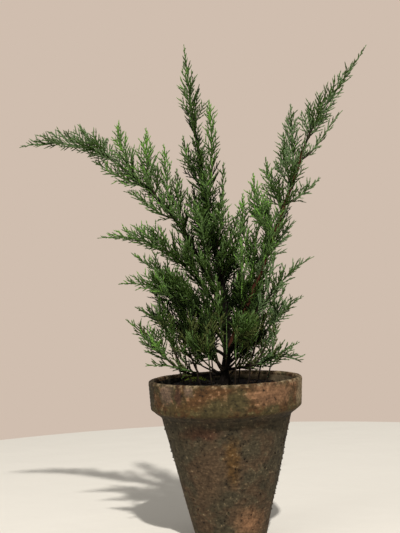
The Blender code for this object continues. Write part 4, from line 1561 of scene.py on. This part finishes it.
# The relief of the pot's outer face, in millimetres. Slow waves and the thrower's ripples run
# over all of it, with fine grain. Pits show in worn places and crusts of lime and moss in
# others, each at a pitch and with a size that is a share of the pitch.
WOBBLE_WIDTH = 62
RIPPLE_PITCH = 5.2
RIPPLE_WANDER = 2.2
RIPPLE_WANDER_WIDTH = 28
RIPPLE_MIDDLE = 0.6
RIPPLE_FADE_WIDTH = 40
GRAIN_RISE = 0.22
GRAIN_WIDTH = 4.5
WORN_WIDTH = 24
WORN_ABOVE = -0.06
PIT_PITCH = 6.5
PIT_SIZE = 0.22
PIT_GROWTH = 0.2
CRUST_PITCH = 8.5
CRUST_SIZE = 0.24
CRUST_WIDTH = 30
CRUST_MIDDLE = 0.12
BAND_CRUST = 0.3  # the band under the rim has less of it

# The rim is chipped in places and stands no prouder than this, and the foot is flat.
CHIPPED_RIM = 5
CHIP_WIDTH = 5
CHIP_ABOVE = 0.28
CHIP_DEPTH = 3.2
RIM_PROUD = 0.2
FLAT_FOOT = 2


def clay_relief(spot, height, settings):
    """How far the pot's outer face stands out at a place, in millimetres."""
    wobble = settings.wobble / MM * noise.noise(spot / WOBBLE_WIDTH)
    wander = RIPPLE_WANDER * noise.noise(spot / RIPPLE_WANDER_WIDTH)
    ripples = math.sin(math.tau * height / RIPPLE_PITCH + wander)
    strength = RIPPLE_MIDDLE + noise.noise(spot / RIPPLE_FADE_WIDTH)
    ripple = settings.ripple / MM * ripples * strength
    grain = GRAIN_RISE * noise.fractal(spot / GRAIN_WIDTH, 1, 2, 3)
    worn = noise.noise(spot / WORN_WIDTH + Vector((3, 8, 1)))
    middle = noise.voronoi(spot / PIT_PITCH)[0][0]
    pit = max(0, 1 - middle / (PIT_SIZE + PIT_GROWTH * worn)) if worn > WORN_ABOVE else 0
    middle = noise.voronoi(spot / CRUST_PITCH + Vector((5, 5, 5)))[0][0]
    crust = max(0, 1 - middle / CRUST_SIZE)
    crust *= max(0, noise.noise(spot / CRUST_WIDTH + Vector((9, 2, 4))) + CRUST_MIDDLE)
    if height > BAND_FOOT:
        crust *= BAND_CRUST
    return wobble + ripple + grain - settings.pits / MM * pit + 2 * settings.crust / MM * crust


def face_relief(spot, height, settings):
    """The relief of the pot's outer face with the chips in its rim and the flat of its foot."""
    relief = clay_relief(spot, height, settings)
    if height > POT_HEIGHT - CHIPPED_RIM:
        chip = noise.noise(spot / CHIP_WIDTH + Vector((1, 6, 2))) - CHIP_ABOVE
        relief = min(relief - CHIP_DEPTH * max(0, chip), RIM_PROUD)
    if height < FLAT_FOOT:
        relief = min(relief, 0) * height / FLAT_FOOT
    return relief


def pot_profile():
    """The pot's profile, from the middle of its underside over the rim to that of its inside.

    It comes with the number of its points on the outer face, the rim and the lip.
    """
    outer = (
        (0, 0),
        (FOOT_RADIUS - 0.5, 0),
        (FOOT_RADIUS, 1.5),
        (SHOULDER_RADIUS, SHOULDER_HEIGHT),
        (RIM_LOWER_RADIUS, BAND_FOOT),
        (RIM_RADIUS - 0.2, POT_HEIGHT - 2.4),
        (RIM_RADIUS - 2, POT_HEIGHT - 0.2),
        (LIP_RADIUS + 1.8, POT_HEIGHT - 0.4),
        (LIP_RADIUS, POT_HEIGHT - 2.6),
        (LIP_RADIUS - 0.6, SOIL_TOP - 6),
    )
    slope = (SHOULDER_RADIUS - FOOT_RADIUS) / SHOULDER_HEIGHT
    inner = (
        outer[-1],
        (SHOULDER_RADIUS - POT_WALL, SHOULDER_HEIGHT),
        (FOOT_RADIUS - POT_WALL + slope * BASE_THICKNESS, BASE_THICKNESS),
        (0, BASE_THICKNESS),
    )
    outside = walked(softened([Vector(place) for place in outer], CORNER_ROUND), OUTER_PITCH)
    inside = walked([Vector(place) for place in inner], INNER_PITCH)
    return [*outside, *inside[1:]], len(outside)


def make_pot_mesh(settings, materials):
    """The pot, turned from its profile, with ripples, pits and crusts on its outer face."""
    profile, outside = pot_profile()
    points, faces = [], []
    for index, here in enumerate(profile):
        if here.x < ON_AXIS:
            points.append(Vector((0, 0, here.y)))
            continue
        run = (profile[index + 1] - profile[index - 1]).normalized()
        for step in range(POT_STEPS):
            flat = on_circle(math.tau * step / POT_STEPS, 1)
            spot = flat * here.x + Vector((0, 0, here.y))
            if index < outside:
                away = flat * run.y + Vector((0, 0, -run.x))
                spot += away * face_relief(spot, here.y, settings)
            points.append(spot)
    rings = len(profile) - 2
    last = len(points) - 1
    for step in range(POT_STEPS):
        after = (step + 1) % POT_STEPS
        faces.append((0, 1 + after, 1 + step))
        for ring in range(rings - 1):
            a, b = 1 + ring * POT_STEPS + step, 1 + ring * POT_STEPS + after
            faces.append((a, b, b + POT_STEPS, a + POT_STEPS))
        faces.append((last - POT_STEPS + step, last - POT_STEPS + after, last))
    pot = mesh_object("pot_terracotta", points, faces, materials)
    # The faces of each step follow the profile, and the stained clay starts inside the lip.
    top = max(range(len(profile)), key=lambda index: profile[index].y)
    lip = range(top, len(profile))
    stained = next(index for index in lip if profile[index].y < POT_HEIGHT - STAINED_BELOW)
    slots = [0, *(int(ring >= stained) for ring in range(rings - 1)), 1] * POT_STEPS
    pot.data.polygons.foreach_set("material_index", np.array(slots, np.int32))
    cut_drain_holes(pot)
    return pot


def cut_drain_holes(pot):
    """Cuts the drain holes through the pot's base, in its mesh."""
    shape = bmesh.new()
    for index in range(DRAIN_HOLES):
        turn = math.tau * (index + DRAIN_TURN) / DRAIN_HOLES
        bmesh.ops.create_cone(
            shape,
            cap_ends=True,
            segments=DRAIN_SIDES,
            radius1=DRAIN_RADIUS * MM,
            radius2=DRAIN_RADIUS * MM,
            depth=4 * BASE_THICKNESS * MM,
            matrix=Matrix.Translation(on_circle(turn, 1) * DRAIN_CIRCLE * MM),
        )
    cutters = bpy.data.objects.new("drain_cutters", bpy.data.meshes.new("drain_cutters"))
    shape.to_mesh(cutters.data)
    shape.free()
    bpy.context.scene.collection.objects.link(cutters)
    cut = pot.modifiers.new("drain holes", "BOOLEAN")
    cut.operation = "DIFFERENCE"
    cut.solver = "EXACT"
    cut.object = cutters
    depsgraph = bpy.context.evaluated_depsgraph_get()
    drilled = bpy.data.meshes.new_from_object(pot.evaluated_get(depsgraph), depsgraph=depsgraph)
    pot.modifiers.clear()
    pot.data = drilled
    bpy.data.objects.remove(cutters)


# The soil's top, in millimetres: it lies a little under the solid's, sinks to the wall and has
# lumps of two sizes, as rows of rise, width and shift, and a mound.
SOIL_SUNK = 1.8
LUMPS = ((0.7, 9, (0, 0, 0)), (0.45, 3.4, (4, 0, 2)))
EDGE_FROM = 62
EDGE_WIDTH = 28
EDGE_DROP = 3.5
MOUND_MIDDLE = (-40, 44)
MOUND_SIZE = (22, 24)
MOUND_RISE = 5.5

# How near to the wall the bed, the crumbs and the moss come.
BED_GAP = 0.4
CRUMB_GAP = 5
MOSS_GAP = 2

# Crumbs: how far in or out each corner is pushed, how much smaller than the setting they come,
# mostly small, and how much of them stands clear of what they lie or cling on.
CRUMB_CORNERS = (0.6, 1.1)
CRUMB_SKEW = 1.5
LOOSE_CRUMB_LEAST = 0.25
LOOSE_CRUMB_RAISED = 0.3
CLINGING_CRUMB_LEAST = 0.35
CLINGING_CRUMB_RAISED = 0.2

# The cushion of moss: its tufts, where it lies, and the lengths and elevations of the tufts.
MOSS_TUFTS = 500
MOSS_MIDDLE = (-40, 50)
MOSS_SPREAD = 7
MOSS_SUNK = 0.4
MOSS_ELEVATIONS = (50, 88)
MOSS_LENGTHS = (2, 4)
MOSS_WIDTH = 1.3
MOSS_RADIUS = 0.3


def soil_height(x, y, settings):
    """The height of the soil at a place, in millimetres: lumps, and a mound at the back left."""
    spot = Vector((x, y, 0))
    lumps = sum(rise * noise.noise(spot / width + Vector(shift)) for rise, width, shift in LUMPS)
    edge = max(0, math.hypot(x, y) - EDGE_FROM) / EDGE_WIDTH
    across, behind = (
        (place - middle) / size for place, middle, size in zip((x, y), MOUND_MIDDLE, MOUND_SIZE)
    )
    mound = MOUND_RISE * math.exp(-(across**2) - behind**2)
    return SOIL_TOP - SOIL_SUNK + settings.lumps / MM * lumps - EDGE_DROP * edge**2 + mound


def make_soil_mesh(settings, material):
    """The soil, with a lumpy top and a plain underside that fills the pot."""
    turns = [math.tau * step / SOIL_STEPS for step in range(SOIL_STEPS)]
    points, faces = [Vector((0, 0, soil_height(0, 0, settings)))], []
    for ring in range(1, SOIL_RINGS + 1):
        radius = (LIP_RADIUS - BED_GAP) * ring / SOIL_RINGS
        for turn in turns:
            x, y = radius * math.cos(turn), radius * math.sin(turn)
            points.append(Vector((x, y, soil_height(x, y, settings))))
    walls = (
        (SHOULDER_RADIUS - POT_WALL - 0.5, SHOULDER_HEIGHT),
        (FOOT_RADIUS - POT_WALL + 2, BASE_THICKNESS + 0.4),
    )
    for radius, height in walls:
        points += [on_circle(turn, radius) + Vector((0, 0, height)) for turn in turns]
    rings = SOIL_RINGS + len(walls)
    for step in range(SOIL_STEPS):
        after = (step + 1) % SOIL_STEPS
        faces.append((0, 1 + step, 1 + after))
        for ring in range(rings - 1):
            a, b = 1 + ring * SOIL_STEPS + step, 1 + ring * SOIL_STEPS + after
            faces.append((a, a + SOIL_STEPS, b + SOIL_STEPS, b))
    faces.append(tuple(range(len(points) - 1, len(points) - 1 - SOIL_STEPS, -1)))
    return mesh_object("soil_bed", points, faces, [material])


def crumb_shape(rng):
    """A small uneven lump: an octahedron with each corner pushed in or out."""
    points = [
        Vector(axis) * sign * rng.uniform(*CRUMB_CORNERS)
        for axis in ((1, 0, 0), (0, 1, 0), (0, 0, 1))
        for sign in (1, -1)
    ]
    return points, outward(points, itertools.product((0, 1), (2, 3), (4, 5)))


def crumb_size(largest, least, rng):
    """Half of a crumb's size in millimetres, from a share of the largest up to all of it."""
    return largest / MM / 2 * rng.uniform(least, 1) ** CRUMB_SKEW


def add_crumb(points, faces, spot, size, rng):
    """Adds one crumb, turned any way, to the points and faces of a mesh."""
    turn = rng.uniform(0, math.tau)
    axis = heading(rng.uniform(0, 360), rng.uniform(-90, 90))
    spin = Matrix.Rotation(turn, 3, axis)
    corners, sides = crumb_shape(rng)
    join(points, faces, ([spot + spin @ (corner * size) for corner in corners], sides))


def make_crumbs(settings, material, rng):
    """Loose crumbs of soil, scattered over the bed."""
    points, faces = [], []
    for _ in range(settings.crumbs):
        radius = (LIP_RADIUS - CRUMB_GAP) * math.sqrt(rng.random())
        turn = rng.uniform(0, math.tau)
        x, y = radius * math.cos(turn), radius * math.sin(turn)
        size = crumb_size(settings.crumb, LOOSE_CRUMB_LEAST, rng)
        height = soil_height(x, y, settings) + size * LOOSE_CRUMB_RAISED
        add_crumb(points, faces, Vector((x, y, height)), size, rng)
    return mesh_object("soil_crumbs", points, faces, [material], False)


def make_clinging_crumbs(settings, clay_settings, material, rng):
    """Crumbs of dried soil that cling to the pot's wall, pressed into its face."""
    points, faces = [], []
    for count, azimuth, spread, low, high in CLINGING_CRUMBS:
        for _ in range(count):
            height = rng.uniform(low, high)
            radius = FOOT_RADIUS + (SHOULDER_RADIUS - FOOT_RADIUS) * height / SHOULDER_HEIGHT
            out = heading(rng.gauss(azimuth, spread), 0)
            size = crumb_size(settings.clinging_crumb, CLINGING_CRUMB_LEAST, rng)
            spot = out * radius + Vector((0, 0, height))
            relief = clay_relief(spot, height, clay_settings)
            spot += out * (relief + size * CLINGING_CRUMB_RAISED)
            add_crumb(points, faces, spot, size, rng)
    return mesh_object("clinging_crumbs", points, faces, [material], False)


def make_moss(settings, material, rng):
    """A low cushion of moss on the mound at the back left: short pointed tufts."""
    points, faces = [], []
    for _ in range(MOSS_TUFTS):
        x, y = (rng.gauss(middle, MOSS_SPREAD) for middle in MOSS_MIDDLE)
        if math.hypot(x, y) > LIP_RADIUS - MOSS_GAP:
            continue
        spot = Vector((x, y, soil_height(x, y, settings) - MOSS_SUNK))
        along = heading(rng.uniform(0, 360), rng.uniform(*MOSS_ELEVATIONS))
        sizes = rng.uniform(*MOSS_LENGTHS), MOSS_WIDTH, MOSS_RADIUS
        tuft = leaf_shape(spot, along, along.orthogonal().normalized(), *sizes)
        join(points, faces, tuft)
    return mesh_object("soil_moss", points, faces, [material], False)


class JUNIPER_OT_make_pot(bpy.types.Operator):
    """Makes the weathered terracotta pot"""

    bl_idname = "juniper.make_pot"
    bl_label = "Make pot"

    def execute(self, context):
        settings = context.scene.juniper_pot
        pot = make_pot_mesh(settings, [terracotta(settings), stained_clay(settings)])
        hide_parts("pot")
        return {"FINISHED"}


class JUNIPER_OT_make_soil(bpy.types.Operator):
    """Makes the soil with its crumbs and moss"""

    bl_idname = "juniper.make_soil"
    bl_label = "Make soil"

    def execute(self, context):
        settings = context.scene.juniper_soil
        rng = random.Random(context.scene.juniper_plant.seed)
        bed = make_soil_mesh(settings, potting_soil(settings))
        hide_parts("soil")
        crumbs = make_crumbs(settings, dry_soil(settings), rng)
        moss = make_moss(settings, cushion_moss(settings), rng)
        clay_settings = context.scene.juniper_pot
        clinging = make_clinging_crumbs(settings, clay_settings, dry_soil(settings), rng)
        return {"FINISHED"}


class JUNIPER_OT_grow_wood(bpy.types.Operator):
    """Grows the trunk and the boughs with the relief of their bark"""

    bl_idname = "juniper.grow_wood"
    bl_label = "Grow trunk and boughs"

    def execute(self, context):
        settings = context.scene.juniper_plant
        # The old bark's near black colour is partly painted shade.
        old = juniper_bark("juniper bark, old", settings.shaded_old_bark)
        young = juniper_bark("juniper bark, young", settings.young_bark)
        for name, limb in grow_limbs().items():
            shape = TRUNK_BARK if name == "trunk" else BOUGH_BARK
            bark = young if name == "bough_right_arm" else old
            piece = bark_object(f"bark_{name}", limb, *shape, settings.relief / MM, bark)
            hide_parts(name)
        return {"FINISHED"}


class JUNIPER_OT_grow_twigs(bpy.types.Operator):
    """Grows the woody part of each mass's stem"""

    bl_idname = "juniper.grow_twigs"
    bl_label = "Grow twigs"

    PITCH = 3
    SIDES = 7
    BARK_THICKNESS = 0.05

    def execute(self, context):
        settings = context.scene.juniper_plant
        limbs = grow_limbs()
        wooded_to = Foliage.WHIP_FROM + Foliage.WHIP_LEAD
        wood = [(stem, wooded_to) for stem in grow_stems(limbs, shoot_rows(limbs)).values()]
        wood += [(stem, start) for stem, start, _ in grow_filling_stems(limbs)]
        points, faces = [], []
        for stem, end in wood:
            shares = stem.stations(self.PITCH, 0, end)
            join(points, faces, tube_shape(stem, shares, self.SIDES, self.BARK_THICKNESS))
        points, faces = np.array(points), np.array(faces)
        piece = triangle_object("twigs", points, faces, twig_bark(settings))
        return {"FINISHED"}


class JUNIPER_OT_grow_foliage(bpy.types.Operator):
    """Grows the sprays of scale leaves, joined by tint"""

    bl_idname = "juniper.grow_foliage"
    bl_label = "Grow foliage"

    def execute(self, context):
        settings = context.scene.juniper_plant
        foliage = Foliage(Crown(settings), settings)
        stood_for = set()
        for tint, pieces in foliage.gathered.items():
            material = leaf_material(tint, getattr(settings, tint))
            for number, copies in enumerate(pieces, 1):
                points, faces = copies.merged(foliage.shapes)
                piece = triangle_object(f"sprays_{tint}_{number}", points, faces, material)
                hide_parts(*sorted(f"foliage_{mass}" for mass in copies.masses))
                stood_for |= copies.masses
        if stood_for != set(foliage.crown.stems):
            raise RuntimeError("a mass of foliage has no sprays")
        return {"FINISHED"}


# Each light of the stage: where it stands, what it aims at and how wide it is, in metres.
MAIN_LIGHT = ((0.78, -3.77, 4.9), (-0.02, 0, 0.3), 0.18)
FILL_LIGHT = ((-1.5, -1.2, 0.9), (0, 0, 0.3), 1.4)

# The camera stands where the photograph was taken from. It is tilted sideways by its roll, in
# degrees, and its lens and sensor are in millimetres.
CAMERA_SPOT = (-0.027, -1.30, 0.334)
CAMERA_AIM = (-0.027, 0, 0.350)
CAMERA_ROLL = -2.2
CAMERA_LENS = 67.5
CAMERA_SENSOR = 36
FLOOR_RADIUS = 1000
FLOOR_SIDES = 128


class JUNIPER_OT_set_stage(bpy.types.Operator):
    """Sets the floor, the background, the lights and the camera"""

    bl_idname = "juniper.set_stage"
    bl_label = "Set stage"

    def execute(self, context):
        settings = context.scene.juniper_stage
        make_floor(settings)
        make_world(context.scene, settings)
        make_light("main light", *MAIN_LIGHT, settings.key)
        make_light("fill light", *FILL_LIGHT, settings.fill)
        context.scene.camera = make_camera()
        context.scene.view_settings.view_transform = "Standard"
        return {"FINISHED"}


def make_floor(settings):
    """A round pale floor, two metres across, that ends behind the pot."""
    rim = [heading(360 * step / FLOOR_SIDES, 0) * FLOOR_RADIUS for step in range(FLOOR_SIDES)]
    mesh = bpy.data.meshes.new("floor")
    mesh.from_pydata([tuple(point * MM) for point in rim], [], [tuple(range(FLOOR_SIDES))])
    mesh.materials.append(painted_floor(settings))
    floor = bpy.data.objects.new("floor", mesh)
    bpy.context.scene.collection.objects.link(floor)


def make_world(scene, settings):
    """An even background that also lights the plant from all round."""
    world = bpy.data.worlds.new("studio")
    world.use_nodes = True
    tree = world.node_tree
    made = {}
    around = {"Color": (1, 1, 1, 1), "Strength": settings.ambient}
    add_node(tree, made, "around", "Background", {}, around)
    add_node(tree, made, "seen", "Background", {}, {"Color": (*settings.backdrop, 1)})
    add_node(tree, made, "ray", "LightPath", {}, {})
    mixed = {0: "ray.Is Camera Ray", 1: "around", 2: "seen"}
    add_node(tree, made, "mixed", "MixShader", {}, mixed)
    tree.links.new(made["mixed"].outputs[0], tree.nodes["World Output"].inputs["Surface"])
    scene.world = world


def make_light(name, spot, aim, size, power):
    """A soft square light at a spot, turned to a point."""
    light = bpy.data.lights.new(name, "AREA")
    light.size = size
    light.energy = power
    obj = bpy.data.objects.new(name, light)
    obj.location = spot
    obj.rotation_euler = (Vector(aim) - Vector(spot)).to_track_quat("-Z", "Y").to_euler()
    bpy.context.scene.collection.objects.link(obj)


def make_camera():
    """The camera at the photograph's height and distance, tilted sideways as it was."""
    data = bpy.data.cameras.new("camera")
    data.lens = CAMERA_LENS
    data.sensor_width = CAMERA_SENSOR
    obj = bpy.data.objects.new("camera", data)
    spot, aim = Vector(CAMERA_SPOT), Vector(CAMERA_AIM)
    look = (aim - spot).to_track_quat("-Z", "Y").to_matrix()
    roll = Matrix.Rotation(math.radians(CAMERA_ROLL), 3, "Z")
    obj.matrix_world = Matrix.Translation(spot) @ (look @ roll).to_4x4()
    bpy.context.scene.collection.objects.link(obj)
    return obj


class JUNIPER_PT_panel(bpy.types.Panel):
    """Lists the steps and their settings"""

    bl_idname = "JUNIPER_PT_panel"
    bl_label = "Potted juniper"
    bl_space_type = "VIEW_3D"
    bl_region_type = "UI"
    bl_category = "Juniper"

    def draw(self, context):
        steps = (
            (context.scene.juniper_pot, ("juniper.make_pot",)),
            (context.scene.juniper_soil, ("juniper.make_soil",)),
            (
                context.scene.juniper_plant,
                ("juniper.grow_wood", "juniper.grow_twigs", "juniper.grow_foliage"),
            ),
            (context.scene.juniper_stage, ("juniper.set_stage",)),
        )
        for settings, operators in steps:
            box = self.layout.box()
            for name in settings.__annotations__:
                box.prop(settings, name)
            for operator in operators:
                box.operator(operator)


CLASSES = (
    PotSettings,
    SoilSettings,
    PlantSettings,
    StageSettings,
    JUNIPER_OT_make_pot,
    JUNIPER_OT_make_soil,
    JUNIPER_OT_grow_wood,
    JUNIPER_OT_grow_twigs,
    JUNIPER_OT_grow_foliage,
    JUNIPER_OT_set_stage,
    JUNIPER_PT_panel,
)
SETTINGS = {
    "juniper_pot": PotSettings,
    "juniper_soil": SoilSettings,
    "juniper_plant": PlantSettings,
    "juniper_stage": StageSettings,
}


def register():
    """Registers the classes and puts the settings on the scene."""
    for made in CLASSES:
        bpy.utils.register_class(made)
    for name, group in SETTINGS.items():
        setattr(bpy.types.Scene, name, PointerProperty(type=group))


def unregister():
    """Takes the settings and the classes away again."""
    for name in SETTINGS:
        delattr(bpy.types.Scene, name)
    for made in reversed(CLASSES):
        bpy.utils.unregister_class(made)


def main():
    """Makes the whole scene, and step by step."""
    register()
    bpy.ops.juniper.make_pot()
    bpy.ops.juniper.make_soil()
    bpy.ops.juniper.grow_wood()
    bpy.ops.juniper.grow_twigs()
    bpy.ops.juniper.grow_foliage()
    bpy.ops.juniper.set_stage()


if __name__ == "__main__":
    main()
